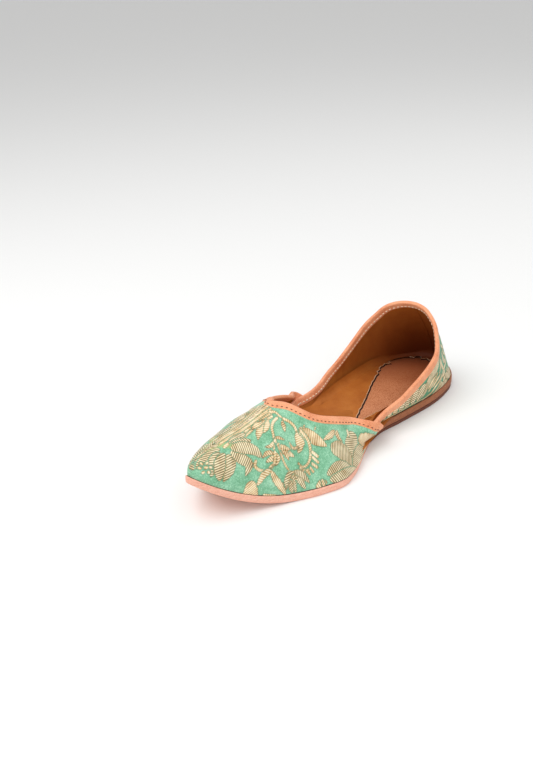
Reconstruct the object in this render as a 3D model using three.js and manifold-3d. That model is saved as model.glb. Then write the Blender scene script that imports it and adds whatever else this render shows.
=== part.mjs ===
import * as THREE from "three";
import { mergeVertices } from "three/addons/utils/BufferGeometryUtils.js";
import Module from "manifold-3d";

// Punjabi jutti: one slip-on shoe of brocade and leather, on a straight last that fits either foot.
// Millimetres, +Z up, toe towards -Y, origin on the floor under the middle of the sole.
// A station is a share of the length, counted from the tip of the toe.

// Sizes of the sole
const LENGTH = 250;
const BALL_WIDTH = 91;
const WAIST_WIDTH = 51;
const HEEL_WIDTH = 60;
const TOE_SPRING = 24;
const TOE_SPRING_REACH = 57;
const SOLE_THICKNESS = 4.8;
const SOLE_CHAMFER = 0.5;
const HEEL_LIFT_THICKNESS = 2.4;
const HEEL_LIFT_LENGTH = 112;
const HEEL_LIFT_TAPER = 42;
const HEEL_LIFT_TIP = 0.7;
const INSOLE_THICKNESS = 1.8;
const INSOLE_BEVEL = 0.9;

// Sizes of the upper
const WALL = 2;
const WELT = 1.1;
const CREST_RISE = 38.5;
const THROAT_START = 66;
const THROAT_LENGTH = 68;
const COLLAR_HEIGHT = 61;
const HEEL_LEAN = 31;
const LEAN_CURVE = 1.45;
const QUARTER_SPREAD = 0.22;
const SPREAD_HEIGHT = 6;
const FLAP_LENGTH = 54;
const BINDING_WIDTH = 4.2;
const BINDING_THICKNESS = 2.8;
const BINDING_SQUARENESS = 0.35;

// Fits between the pieces
const CLEARANCE = 0.3;
const BINDING_GAP = 0.65;
const WING_GAP = 1.3;
const WING_SEAT = -1.1;
const WING_BLEND = 1.2;
const WING_HUG = 18;
const FLAP_FADE = 0.05;

// Outline of the sole: half of "share" of the named width at each station
const OUTLINE = [
  { at: 0.028, width: BALL_WIDTH, share: 0.2 },
  { at: 0.1, width: BALL_WIDTH, share: 0.44 },
  { at: 0.2, width: BALL_WIDTH, share: 0.72 },
  { at: 0.27, width: BALL_WIDTH, share: 0.91 },
  { at: 0.33, width: BALL_WIDTH, share: 1 },
  { at: 0.38, width: BALL_WIDTH, share: 0.94 },
  { at: 0.48, width: BALL_WIDTH, share: 0.7 },
  { at: 0.53, width: BALL_WIDTH, share: 0.6 },
  { at: 0.585, width: WAIST_WIDTH, share: 1 },
  { at: 0.66, width: HEEL_WIDTH, share: 0.92 },
  { at: 0.8, width: HEEL_WIDTH, share: 1 },
  { at: 0.9, width: HEEL_WIDTH, share: 0.89 },
  { at: 0.968, width: HEEL_WIDTH, share: 0.56 },
];

// Ribs of the vamp: each starts on the sole at station "at" and meets the ridge at station "crown",
// at "rise" of the crest's rise above its own foot. "fullness" 2 is an ellipse, less is flatter.
// "welt" is the share of the sole's ledge that shows outside it, and below 0 the cloth hangs over.
const VAMP_RIBS = [
  { at: 0, crown: 0.045, rise: 0.245, fullness: 2.6, welt: 1 },
  { at: 0.05, crown: 0.085, rise: 0.5, fullness: 2.25, welt: 1 },
  { at: 0.1, crown: 0.13, rise: 0.7, fullness: 2.05, welt: 1 },
  { at: 0.2, crown: 0.21, rise: 0.93, fullness: 1.66, welt: 1 },
  { at: 0.27, crown: 0.27, rise: 1.02, fullness: 1.23, welt: 0.9 },
  { at: 0.42, crown: 0.42, rise: 1.06, fullness: 1.21, welt: -0.4 },
  { at: 0.56, crown: 0.56, rise: 1.12, fullness: 1.5, welt: -0.8 },
];

// Edge of the throat: the share of the vamp's width that is open, by share of the throat's length
const THROAT_EDGE = [
  { along: 0, open: 0 },
  { along: 0.1, open: 0.15 },
  { along: 0.26, open: 0.42 },
  { along: 0.62, open: 0.69 },
  { along: 0.84, open: 0.87 },
  { along: 1, open: 0.985 },
];

// Ribs of the quarters: "topline" is a share of the collar's height, "lean" a share of the forward
// lean of the heel, "spread" a share of the outward flare over the narrow sole.
const QUARTER_RIBS = [
  { at: 0.3, topline: 0.21, lean: 0, spread: 0.1 },
  { at: 0.42, topline: 0.215, lean: 0, spread: 0.3 },
  { at: 0.54, topline: 0.25, lean: 0, spread: 0.95 },
  { at: 0.62, topline: 0.32, lean: 0, spread: 1.1 },
  { at: 0.69, topline: 0.41, lean: 0.02, spread: 0.85 },
  { at: 0.75, topline: 0.51, lean: 0.1, spread: 0.7 },
  { at: 0.81, topline: 0.63, lean: 0.29, spread: 0.5 },
  { at: 0.85, topline: 0.74, lean: 0.45, spread: 0.12 },
  { at: 0.89, topline: 0.84, lean: 0.6, spread: -0.35 },
  { at: 0.95, topline: 0.955, lean: 0.83, spread: -0.85 },
  { at: 1, topline: 1, lean: 1, spread: -1 },
];

// Steps of the faceted surfaces
const SOLE_STEPS = 66;
const VAMP_STEPS = 12;
const THROAT_STEPS = 14;
const VAMP_RISE_STEPS = 13;
const FLAP_STEPS = 9;
const QUARTER_STEPS = 24;
const QUARTER_RISE_STEPS = 6;
const THROAT_STEP_POWER = 1.7;
const BINDING_SIDES = 8;
const TANGENT_STEP = 1e-3;
const RIDGE_MARGIN = 0.25;
const LEVEL_FOOT = 0.5;
const NORMAL_SMOOTHING = 3;

// Closed solids, for joining the sides of the upper
const library = await Module();
library.setup();

// Smooth curve through a table's rows, by monotone cubic pieces, read by one column
function curveThrough(rows, column, key = "at") {
  const places = rows.map((row) => row[key]);
  const values = rows.map((row) => row[column]);
  const last = rows.length - 1;
  const slopes = values.slice(1).map((value, i) => (value - values[i]) / (places[i + 1] - places[i]));
  const tangents = values.map((_, i) => {
    if (i === 0) return slopes[0];
    if (i === last) return slopes[last - 1];
    if (slopes[i - 1] * slopes[i] <= 0) return 0;
    return (2 * slopes[i - 1] * slopes[i]) / (slopes[i - 1] + slopes[i]);
  });
  return (place) => {
    const inside = THREE.MathUtils.clamp(place, places[0], places[last]);
    const found = places.findIndex((end, i) => i > 0 && inside <= end);
    const i = Math.max(found, 1) - 1;
    const span = places[i + 1] - places[i];
    const t = (inside - places[i]) / span;
    const start = values[i] * (1 + 2 * t) * (1 - t) ** 2 + tangents[i] * span * t * (1 - t) ** 2;
    const end = values[i + 1] * t * t * (3 - 2 * t) + tangents[i + 1] * span * t * t * (t - 1);
    return start + end;
  };
}

// Stations are spaced by angle, so that the round ends get short steps
const angleOf = (station) => Math.acos(1 - 2 * THREE.MathUtils.clamp(station, 0, 1));
const stationOf = (angle) => (1 - Math.cos(angle)) / 2;

function stationsBetween(first, last, steps) {
  const start = angleOf(first);
  const end = angleOf(last);
  return Array.from({ length: steps + 1 }, (_, i) => stationOf(start + ((end - start) * i) / steps));
}

// Outline of the sole: the width follows the table, and the ends close as half circles do
const outlineRows = [
  { angle: -angleOf(OUTLINE[0].at), half: -halfOf(OUTLINE[0]) },
  { angle: 0, half: 0 },
  ...OUTLINE.map((row) => ({ angle: angleOf(row.at), half: halfOf(row) })),
  { angle: Math.PI, half: 0 },
  { angle: 2 * Math.PI - angleOf(OUTLINE.at(-1).at), half: -halfOf(OUTLINE.at(-1)) },
];
const halfAtAngle = curveThrough(outlineRows, "half", "angle");

function halfOf(row) {
  return (row.width * row.share) / 2;
}

// A point of the outline, moved inwards by an inset along the outline's own normal
function outlineAt(station, inset = 0) {
  const angle = angleOf(station);
  const half = halfAtAngle(angle);
  const halfSlope = (halfAtAngle(angle + TANGENT_STEP) - halfAtAngle(angle - TANGENT_STEP)) / (2 * TANGENT_STEP);
  const lengthSlope = (LENGTH / 2) * Math.sin(angle);
  const size = Math.hypot(halfSlope, lengthSlope);
  const x = half - (inset * lengthSlope) / size;
  const y = (station - 0.5) * LENGTH + (inset * halfSlope) / size;
  return { x: Math.max(x, 0), y };
}

// Heights: underside of the sole, its top, and the top of the insole, by distance along the shoe
const distanceOf = (y) => y + LENGTH / 2;

function heelLiftThicknessAt(y) {
  const behindTip = distanceOf(y) - (LENGTH - HEEL_LIFT_LENGTH);
  return HEEL_LIFT_THICKNESS * THREE.MathUtils.smoothstep(behindTip, -HEEL_LIFT_TAPER / 2, HEEL_LIFT_TAPER / 2);
}

function soleUndersideAt(y) {
  const toe = Math.max(1 - distanceOf(y) / TOE_SPRING_REACH, 0);
  const lift = heelLiftThicknessAt(y);
  return TOE_SPRING * toe ** 2 + lift + (CLEARANCE * lift) / HEEL_LIFT_THICKNESS;
}

const soleTopAt = (y) => soleUndersideAt(y) + SOLE_THICKNESS;
const insoleTopAt = (y) => soleTopAt(y) + CLEARANCE + INSOLE_THICKNESS;

// Inner surface of the vamp
const ribCrown = curveThrough(VAMP_RIBS, "crown");
const ribRise = curveThrough(VAMP_RIBS, "rise");
const ribFullness = curveThrough(VAMP_RIBS, "fullness");
const ribWelt = curveThrough(VAMP_RIBS, "welt");
const throatRows = THROAT_EDGE.map(({ along, open }) => ({ at: Math.sqrt(along), open }));
const throatOpening = curveThrough(throatRows, "open");
const throatStation = THROAT_START / LENGTH;
const cornerStation = (THROAT_START + THROAT_LENGTH) / LENGTH;

function vampFoot(station) {
  const { x, y } = outlineAt(station, WALL + WELT * ribWelt(station));
  return new THREE.Vector3(x, y, soleTopAt(y) + CLEARANCE);
}

// Angle up a rib at which the vamp ends: the ridge in front, the throat's edge behind the crest
function vampEndAngle(station) {
  if (station <= throatStation) return Math.PI / 2;
  const along = (station - throatStation) / (cornerStation - throatStation);
  const open = throatOpening(Math.sqrt(along));
  return Math.acos(open ** (ribFullness(station) / 2));
}

// Every rib arrives at the ridge along the ridge's own slope from toe to crest
const crownYAt = (station) => (ribCrown(station) - 0.5) * LENGTH;
const crownHeightAt = (station) => vampFoot(station).z + CREST_RISE * ribRise(station);
const ridgeSlope = (crownHeightAt(throatStation) - crownHeightAt(0)) / (crownYAt(throatStation) - crownYAt(0));

function vampPoint(station, angle) {
  const foot = vampFoot(station);
  const power = 2 / ribFullness(station);
  const inward = Math.max(Math.cos(angle), 0) ** power;
  const upward = Math.max(Math.sin(angle), 0) ** power;
  const crownY = crownYAt(station);
  const y = crownY + (foot.y - crownY) * inward;
  const z = foot.z + (CREST_RISE * ribRise(station) - ridgeSlope * (crownY - y)) * upward;
  return new THREE.Vector3(overQuarter(foot.x * inward, station, z), y, z);
}

// Where the quarter lies under a wing of the vamp, the wing lies outside it, and sits on it at its end
function overQuarter(x, station, z) {
  const share = THREE.MathUtils.smoothstep(station, flapStation - FLAP_FADE, flapStation + FLAP_FADE);
  if (share === 0) return x;
  const foot = quarterFoot(station);
  const topline = quarterTopline(station);
  const band = THREE.MathUtils.smoothstep(z, foot.z, topline - BINDING_WIDTH);
  const bandReach = (WALL + BINDING_THICKNESS) / 2 + WING_GAP;
  const seat = WALL + WING_SEAT + (bandReach - WALL - WING_SEAT) * band;
  const covered = quarterHalf(station, z - foot.z) + seat;
  const outside = (x + covered + Math.hypot(x - covered, WING_BLEND)) / 2;
  const hug = THREE.MathUtils.smoothstep(station, cornerStation - WING_HUG / LENGTH, cornerStation);
  const over = THREE.MathUtils.lerp(outside, covered, hug);
  const clearAbove = THREE.MathUtils.smoothstep(z, topline + CLEARANCE, topline + 2 * BINDING_WIDTH);
  return x + (over - x) * share * (1 - clearAbove);
}

// Inner surface of the quarters
const ribTopline = curveThrough(QUARTER_RIBS, "topline");
const ribLean = curveThrough(QUARTER_RIBS, "lean");
const ribSpread = curveThrough(QUARTER_RIBS, "spread");
const flapStation = cornerStation - FLAP_LENGTH / LENGTH;
const flapHinge = cornerStation - FLAP_FADE / 2;

const quarterTopline = (station) => COLLAR_HEIGHT * ribTopline(station);

// The flaps run straight on under the wings, over the insole
function quarterFoot(station) {
  const { x, y } = outlineAt(station, WELT + WALL);
  if (station > flapHinge) return new THREE.Vector3(x, y, soleTopAt(y) + CLEARANCE);
  const straight = outlineAt(flapHinge, WELT + WALL).x;
  return new THREE.Vector3(Math.min(x, straight), y, insoleTopAt(y) + CLEARANCE);
}

function quarterHalf(station, rise) {
  const spread = QUARTER_SPREAD * ribSpread(station) * (1 - Math.exp(-Math.max(rise, 0) / SPREAD_HEIGHT));
  return quarterFoot(station).x * (1 + spread);
}

function quarterPoint(station, share) {
  const foot = quarterFoot(station);
  const rise = (quarterTopline(station) - BINDING_WIDTH - foot.z) * share;
  const fullRise = COLLAR_HEIGHT - foot.z;
  const lean = HEEL_LEAN * ribLean(station) * Math.max(rise / fullRise, 0) ** LEAN_CURVE;
  return new THREE.Vector3(quarterHalf(station, rise), foot.y - lean, foot.z + rise);
}

// Outward normal of a surface given by two parameters, on the near side of the shoe
function outwardNormal(surface, u, v) {
  const alongU = surface(u + TANGENT_STEP, v).sub(surface(u - TANGENT_STEP, v));
  const alongV = surface(u, v + TANGENT_STEP).sub(surface(u, v - TANGENT_STEP));
  return alongU.cross(alongV).normalize();
}

// Body between two grids of points with the same rows and columns
function bodyBetweenGrids(inner, outer) {
  const rows = inner.length;
  const columns = inner[0].length;
  const points = [...inner.flat(), ...outer.flat()];
  const inside = (i, j) => i * columns + j;
  const outside = (i, j) => rows * columns + inside(i, j);
  const triangles = [];
  const quad = (a, b, c, d) => triangles.push([a, b, c], [a, c, d]);
  for (let i = 0; i + 1 < rows; i += 1) {
    for (let j = 0; j + 1 < columns; j += 1) {
      quad(outside(i, j), outside(i + 1, j), outside(i + 1, j + 1), outside(i, j + 1));
      quad(inside(i, j), inside(i, j + 1), inside(i + 1, j + 1), inside(i + 1, j));
    }
    quad(inside(i, 0), inside(i + 1, 0), outside(i + 1, 0), outside(i, 0));
    const top = columns - 1;
    quad(inside(i, top), outside(i, top), outside(i + 1, top), inside(i + 1, top));
  }
  for (let j = 0; j + 1 < columns; j += 1) {
    const end = rows - 1;
    quad(inside(0, j), outside(0, j), outside(0, j + 1), inside(0, j + 1));
    quad(inside(end, j), inside(end, j + 1), outside(end, j + 1), outside(end, j));
  }
  return closedGeometry(points, triangles);
}

// Body through closed rings of points, with a fan at each end
function bodyThroughRings(rings) {
  const sides = rings[0].length;
  const points = rings.flat();
  const triangles = [];
  for (let i = 0; i + 1 < rings.length; i += 1) {
    for (let j = 0; j < sides; j += 1) {
      const next = (j + 1) % sides;
      const [a, b, c, d] = [i * sides + j, i * sides + next, (i + 1) * sides + next, (i + 1) * sides + j];
      triangles.push([a, b, c], [a, c, d]);
    }
  }
  const lastRing = (rings.length - 1) * sides;
  for (let j = 1; j + 1 < sides; j += 1) {
    triangles.push([0, j + 1, j], [lastRing, lastRing + j, lastRing + j + 1]);
  }
  return closedGeometry(points, triangles);
}

// Plate through level outlines from its underside to its top, closed across from side to side
function plateThroughLevels(levels) {
  const steps = levels[0].length;
  const points = levels.flatMap((level) => level.flatMap(({ x, y, z }) => [
    new THREE.Vector3(x, y, z),
    new THREE.Vector3(-x, y, z),
  ]));
  const at = (level, i, side) => (level * steps + i) * 2 + side;
  const triangles = [];
  const quad = (a, b, c, d) => triangles.push([a, b, c], [a, c, d]);
  const top = levels.length - 1;
  for (let i = 0; i + 1 < steps; i += 1) {
    quad(at(top, i, 1), at(top, i, 0), at(top, i + 1, 0), at(top, i + 1, 1));
    quad(at(0, i, 0), at(0, i, 1), at(0, i + 1, 1), at(0, i + 1, 0));
    for (let level = 0; level < top; level += 1) {
      quad(at(level, i, 0), at(level, i + 1, 0), at(level + 1, i + 1, 0), at(level + 1, i, 0));
      quad(at(level, i + 1, 1), at(level, i, 1), at(level + 1, i, 1), at(level + 1, i + 1, 1));
    }
  }
  for (let level = 0; level < top; level += 1) {
    quad(at(level, 0, 1), at(level, 0, 0), at(level + 1, 0, 0), at(level + 1, 0, 1));
    const end = steps - 1;
    quad(at(level, end, 0), at(level, end, 1), at(level + 1, end, 1), at(level + 1, end, 0));
  }
  return closedGeometry(points, triangles);
}

// Geometry with shared corners, without the triangles that close up to a line, facing out
function closedGeometry(points, triangles) {
  const loose = new THREE.BufferGeometry().setFromPoints(points);
  loose.setIndex(triangles.flat());
  const merged = mergeVertices(loose, 1e-4);
  const index = merged.getIndex().array;
  const kept = [];
  for (let i = 0; i < index.length; i += 3) {
    const [a, b, c] = [index[i], index[i + 1], index[i + 2]];
    if (a !== b && b !== c && c !== a) kept.push([a, b, c]);
  }
  const facesOut = signedVolume(merged, kept) > 0;
  merged.setIndex(kept.flatMap(([a, b, c]) => (facesOut ? [a, b, c] : [a, c, b])));
  return merged;
}

function signedVolume(geometry, triangles) {
  const corners = geometry.getAttribute("position");
  const corner = (i) => new THREE.Vector3().fromBufferAttribute(corners, i);
  return triangles.reduce((sum, [a, b, c]) => sum + corner(a).dot(corner(b).cross(corner(c))) / 6, 0);
}

// Solid from a geometry, geometry from a solid, and a side of the shoe with its mirror image
function solidOf(geometry) {
  const vertProperties = new Float32Array(geometry.getAttribute("position").array);
  const triVerts = new Uint32Array(geometry.getIndex().array);
  return new library.Manifold(new library.Mesh({ numProp: 3, vertProperties, triVerts }));
}

function geometryOf(solid) {
  const mesh = solid.getMesh();
  const geometry = new THREE.BufferGeometry();
  geometry.setAttribute("position", new THREE.BufferAttribute(mesh.vertProperties.slice(), 3));
  geometry.setIndex(new THREE.BufferAttribute(mesh.triVerts.slice(), 1));
  return geometry;
}

function withMirrorImage(half) {
  const corners = half.getAttribute("position");
  const points = Array.from({ length: corners.count }, (_, i) =>
    new THREE.Vector3(-corners.getX(i), corners.getY(i), corners.getZ(i)));
  const index = Array.from(half.getIndex().array);
  const triangles = Array.from({ length: index.length / 3 }, (_, i) => index.slice(3 * i, 3 * i + 3));
  return solidOf(half).add(solidOf(closedGeometry(points, triangles)));
}

// Points on the shoe's middle plane get exactly no width, so that the halves join
function onMiddlePlane(point) {
  return new THREE.Vector3(0, point.y, point.z);
}

// Point in the thickness of a wall: at its foot the wall is cut along the surface under it, and
// higher up it is square to its own surface
function pointInWall(point, normal, height, offset, levelAt) {
  const square = THREE.MathUtils.smoothstep(height, 0, LEVEL_FOOT);
  const direction = new THREE.Vector3(normal.x, normal.y, normal.z * square).normalize();
  const moved = point.clone().addScaledVector(direction, offset);
  moved.z += (levelAt(moved.y) - levelAt(point.y)) * (1 - square);
  return moved;
}

// Stations of the throat's edge, closer together near the crest, where the edge turns across
function throatStations() {
  return Array.from({ length: THROAT_STEPS + 1 }, (_, i) => {
    const share = (i / THROAT_STEPS) ** THROAT_STEP_POWER;
    return throatStation + (cornerStation - throatStation) * share;
  });
}

// Vamp: toe, sides and the two wings that lie over the quarters
function vampSide() {
  const stations = [...stationsBetween(0, throatStation, VAMP_STEPS).slice(0, -1), ...throatStations()];
  const grid = (offset) => stations.map((station) => {
    const endAngle = vampEndAngle(station);
    return Array.from({ length: VAMP_RISE_STEPS + 1 }, (_, j) => {
      const angle = (endAngle * j) / VAMP_RISE_STEPS;
      const point = vampWallPoint(station, angle, offset);
      const middle = station === 0 || (station <= throatStation && j === VAMP_RISE_STEPS);
      return middle ? onMiddlePlane(point) : point;
    });
  });
  return bodyBetweenGrids(grid(0), grid(WALL));
}

function vampWallPoint(station, angle, offset) {
  const point = vampPoint(station, angle);
  if (offset === 0) return point;
  return pointInWall(point, vampNormal(station, angle), angle / (Math.PI / 2), offset, soleTopAt);
}

function vampNormal(station, angle) {
  const safeStation = Math.max(station, 4 * TANGENT_STEP);
  const safeAngle = THREE.MathUtils.clamp(angle, 2 * TANGENT_STEP, Math.PI / 2 - RIDGE_MARGIN);
  return outwardNormal(vampPoint, safeStation, safeAngle);
}

// Stations of the quarters: the flap under the wing, then the side behind its hinge
function quarterStations() {
  const flap = stationsBetween(flapStation, flapHinge, FLAP_STEPS).slice(0, -1);
  return [...flap, flapHinge, ...stationsBetween(flapHinge, 1, QUARTER_STEPS).slice(1)];
}

// Quarters: one wall round the heel from flap to flap
function quarterSide() {
  const stations = quarterStations();
  const grid = (offset) => stations.map((station) =>
    Array.from({ length: QUARTER_RISE_STEPS + 1 }, (_, j) => {
      const share = j / QUARTER_RISE_STEPS;
      const point = quarterWallPoint(station, share, offset);
      return station > 1 - TANGENT_STEP ? onMiddlePlane(point) : point;
    }));
  return bodyBetweenGrids(grid(0), grid(WALL));
}

function quarterWallPoint(station, share, offset) {
  const point = quarterPoint(station, share);
  if (offset === 0) return point;
  const levelAt = station > flapHinge ? soleTopAt : insoleTopAt;
  return pointInWall(point, quarterNormal(station, share), share, offset, levelAt);
}

function quarterNormal(station, share) {
  const safeStation = Math.min(station, 1 - 4 * TANGENT_STEP);
  const safeShare = Math.max(share, 2 * TANGENT_STEP);
  return outwardNormal(quarterPoint, safeStation, safeShare);
}

// Binding: a folded strip with round edges along the edge of a wall, and on past it by its width
function bindingAlong(edges) {
  const rings = edges.map(({ point, across, normal }) =>
    Array.from({ length: BINDING_SIDES }, (_, i) => {
      const angle = (2 * Math.PI * (i + 0.5)) / BINDING_SIDES;
      const [squareX, squareY] = roundedSquare(angle);
      const reach = BINDING_GAP + (BINDING_WIDTH / 2) * (1 + squareX);
      return point.clone()
        .addScaledVector(across, reach)
        .addScaledVector(normal, (BINDING_THICKNESS / 2) * squareY);
    }));
  return bodyThroughRings(rings);
}

// Point of a square with round corners, half a unit of side 2
function roundedSquare(angle) {
  const flattened = (value) => Math.sign(value) * Math.abs(value) ** BINDING_SQUARENESS;
  return [flattened(Math.cos(angle)), flattened(Math.sin(angle))];
}

// Frames along a wall's edge on the near side, carried over to the far side, with smoothed normals.
// Side 1 is for an edge that starts towards the heel, and -1 for one that starts towards the toe.
function edgeFrames(stations, edgePoint, edgeNormal, side) {
  const near = stations.map((station) => ({ point: edgePoint(station), normal: edgeNormal(station) }));
  const far = near.slice(0, -1).reverse().map(({ point, normal }) => ({
    point: new THREE.Vector3(-point.x, point.y, point.z),
    normal: new THREE.Vector3(-normal.x, normal.y, normal.z),
  }));
  const frames = [...near, ...far];
  const neighbour = (i) => frames[THREE.MathUtils.clamp(i, 0, frames.length - 1)];
  for (let pass = 0; pass < NORMAL_SMOOTHING; pass += 1) {
    const sums = frames.map(({ normal }, i) =>
      normal.clone().multiplyScalar(2).add(neighbour(i - 1).normal).add(neighbour(i + 1).normal));
    frames.forEach((frame, i) => frame.normal.copy(sums[i]).normalize());
  }
  return frames.map(({ point, normal }, i) => {
    const along = neighbour(i + 1).point.clone().sub(neighbour(i - 1).point).normalize();
    const square = normal.clone().addScaledVector(along, -normal.dot(along)).normalize();
    const across = square.clone().cross(along).multiplyScalar(side);
    return { point, normal: square, across };
  });
}

function throatBinding() {
  const stations = throatStations().reverse();
  const edgePoint = (station) => {
    const point = vampWallPoint(station, vampEndAngle(station), WALL / 2);
    return station === throatStation ? onMiddlePlane(point) : point;
  };
  const edgeNormal = (station) => vampNormal(station, vampEndAngle(station));
  return bindingAlong(edgeFrames(stations, edgePoint, edgeNormal, -1));
}

function collarBinding() {
  const stations = quarterStations();
  const edgePoint = (station) => {
    const point = quarterWallPoint(station, 1, WALL / 2);
    return station > 1 - TANGENT_STEP ? onMiddlePlane(point) : point;
  };
  const edgeNormal = (station) => {
    const normal = quarterNormal(station, 1);
    return station > 1 - TANGENT_STEP ? onMiddlePlane(normal).normalize() : normal;
  };
  return bindingAlong(edgeFrames(stations, edgePoint, edgeNormal, 1));
}

// Flat pieces under the foot
function level(stations, inset, heightAt) {
  return stations.map((station) => {
    const { x, y } = outlineAt(station, inset);
    return { x, y, z: heightAt(y) };
  });
}

function outsole() {
  const stations = stationsBetween(0, 1, SOLE_STEPS);
  return plateThroughLevels([
    level(stations, SOLE_CHAMFER, soleUndersideAt),
    level(stations, 0, (y) => soleUndersideAt(y) + SOLE_CHAMFER),
    level(stations, 0, (y) => soleTopAt(y) - SOLE_CHAMFER),
    level(stations, SOLE_CHAMFER, soleTopAt),
  ]);
}

function heelLift() {
  const tipStation = stationWithLiftThickness(HEEL_LIFT_TIP);
  const stations = stationsBetween(tipStation, 1, Math.round(SOLE_STEPS / 2));
  return plateThroughLevels([
    level(stations, SOLE_CHAMFER, () => 0),
    level(stations, SOLE_CHAMFER, heelLiftThicknessAt),
  ]);
}

// First station, from the front, at which the heel lift has the thickness of its cut edge
function stationWithLiftThickness(thickness) {
  let low = 0;
  let high = 1;
  for (let i = 0; i < 40; i += 1) {
    const middle = (low + high) / 2;
    if (heelLiftThicknessAt((middle - 0.5) * LENGTH) < thickness) low = middle;
    else high = middle;
  }
  return high;
}

function insole() {
  const inset = WELT + WALL + CLEARANCE;
  const stations = stationsBetween(0, 1, SOLE_STEPS);
  const foot = (y) => soleTopAt(y) + CLEARANCE;
  return plateThroughLevels([
    level(stations, inset, foot),
    level(stations, inset + INSOLE_BEVEL, insoleTopAt),
  ]);
}

// Materials by the colours of the real one
const leather = (color, roughness) => new THREE.MeshStandardMaterial({ color, roughness, metalness: 0 });
const brocade = new THREE.MeshStandardMaterial({ color: 0x84c7a0, roughness: 0.45, metalness: 0 });

function piece(name, geometry, material) {
  const mesh = new THREE.Mesh(geometry, material);
  mesh.name = name;
  mesh.geometry.computeVertexNormals();
  return mesh;
}

const upper = geometryOf(withMirrorImage(vampSide()).add(withMirrorImage(quarterSide())));

const jutti = new THREE.Group();
jutti.add(
  piece("outsole", outsole(), leather(0xeba88a, 0.6)),
  piece("heel_lift", heelLift(), leather(0x6b3324, 0.7)),
  piece("insole", insole(), leather(0xb8734d, 0.65)),
  piece("upper", upper, brocade),
  piece("throat_binding", throatBinding(), leather(0xf2a57b, 0.5)),
  piece("collar_binding", collarBinding(), leather(0xf2a57b, 0.5)),
);

export default jutti;
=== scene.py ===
"""Punjabi jutti: cloth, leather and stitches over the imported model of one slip-on shoe.

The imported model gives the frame: toe towards -Y, heel towards +Y, +Z up, the floor at 0. Sizes are
in millimetres until a mesh is made.
"""

from __future__ import annotations

import logging
import math
from dataclasses import dataclass, field
from enum import Enum
from functools import cached_property
from typing import Any, Callable, NamedTuple, Sequence

import bmesh
import bpy
import numpy as np
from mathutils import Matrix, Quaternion, Vector

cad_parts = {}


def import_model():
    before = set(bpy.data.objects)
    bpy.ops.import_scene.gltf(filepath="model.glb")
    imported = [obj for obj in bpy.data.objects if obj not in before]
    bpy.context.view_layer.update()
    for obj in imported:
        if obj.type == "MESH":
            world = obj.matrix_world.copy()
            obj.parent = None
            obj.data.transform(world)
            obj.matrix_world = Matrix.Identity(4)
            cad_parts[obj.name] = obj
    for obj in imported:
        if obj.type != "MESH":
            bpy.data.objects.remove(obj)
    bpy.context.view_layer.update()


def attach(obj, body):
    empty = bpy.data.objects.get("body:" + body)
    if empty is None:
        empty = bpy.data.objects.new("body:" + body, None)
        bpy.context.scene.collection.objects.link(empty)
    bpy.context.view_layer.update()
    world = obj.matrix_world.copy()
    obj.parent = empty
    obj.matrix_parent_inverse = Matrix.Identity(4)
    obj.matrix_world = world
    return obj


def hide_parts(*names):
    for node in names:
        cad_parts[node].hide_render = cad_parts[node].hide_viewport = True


LOG = logging.getLogger("jutti")

# A millimetre in metres, and the photograph's height in pixels.
MM = 0.001
PHOTO_HEIGHT = 766


# Last

# Step between the points that a slope is read from, in shares and radians.
SMALL_STEP = 1e-3
# Difference below which two stations are the same.
SAME_STATION = 1e-9
# A length that keeps from dividing by nothing.
TINY = 1e-9

# A surface gives points from two parameters, a height gives z from y, and a grid is rows of points.
Surface = Callable[[np.ndarray, np.ndarray], np.ndarray]
Height = Callable[[np.ndarray], np.ndarray]
Grid = np.ndarray
Faces = list[tuple[int, ...]]


class OutlineRow(NamedTuple):
    """Half of "share" of a named width of the sole, at one station."""

    at: float
    width: float
    share: float


class VampRib(NamedTuple):
    """Rib of the vamp, from its foot on the sole up to the ridge."""

    at: float
    crown: float
    rise: float
    fullness: float
    welt: float


class QuarterRib(NamedTuple):
    """Rib of the quarters: shares of the collar's height, the heel's lean and the flare."""

    at: float
    topline: float
    lean: float
    spread: float


class ThroatRow(NamedTuple):
    """Share of the vamp's width that is open, by share of the throat's length."""

    along: float
    open: float


# Widths of the sole, and the tables that shape the last along its length.
BALL, WAIST, HEEL = 91.0, 51.0, 60.0

OUTLINE = (
    OutlineRow(0.028, BALL, 0.2),
    OutlineRow(0.1, BALL, 0.44),
    OutlineRow(0.2, BALL, 0.72),
    OutlineRow(0.27, BALL, 0.91),
    OutlineRow(0.33, BALL, 1),
    OutlineRow(0.38, BALL, 0.94),
    OutlineRow(0.48, BALL, 0.7),
    OutlineRow(0.53, BALL, 0.6),
    OutlineRow(0.585, WAIST, 1),
    OutlineRow(0.66, HEEL, 0.92),
    OutlineRow(0.8, HEEL, 1),
    OutlineRow(0.9, HEEL, 0.89),
    OutlineRow(0.968, HEEL, 0.56),
)

VAMP_RIBS = (
    VampRib(0, 0.045, 0.245, 2.6, 1),
    VampRib(0.05, 0.085, 0.5, 2.25, 1),
    VampRib(0.1, 0.13, 0.7, 2.05, 1),
    VampRib(0.2, 0.21, 0.93, 1.66, 1),
    VampRib(0.27, 0.27, 1.02, 1.23, 0.9),
    VampRib(0.42, 0.42, 1.06, 1.21, -0.4),
    VampRib(0.56, 0.56, 1.12, 1.5, -0.8),
)

THROAT_EDGE = (
    ThroatRow(0, 0),
    ThroatRow(0.1, 0.15),
    ThroatRow(0.26, 0.42),
    ThroatRow(0.62, 0.69),
    ThroatRow(0.84, 0.87),
    ThroatRow(1, 0.985),
)

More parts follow.
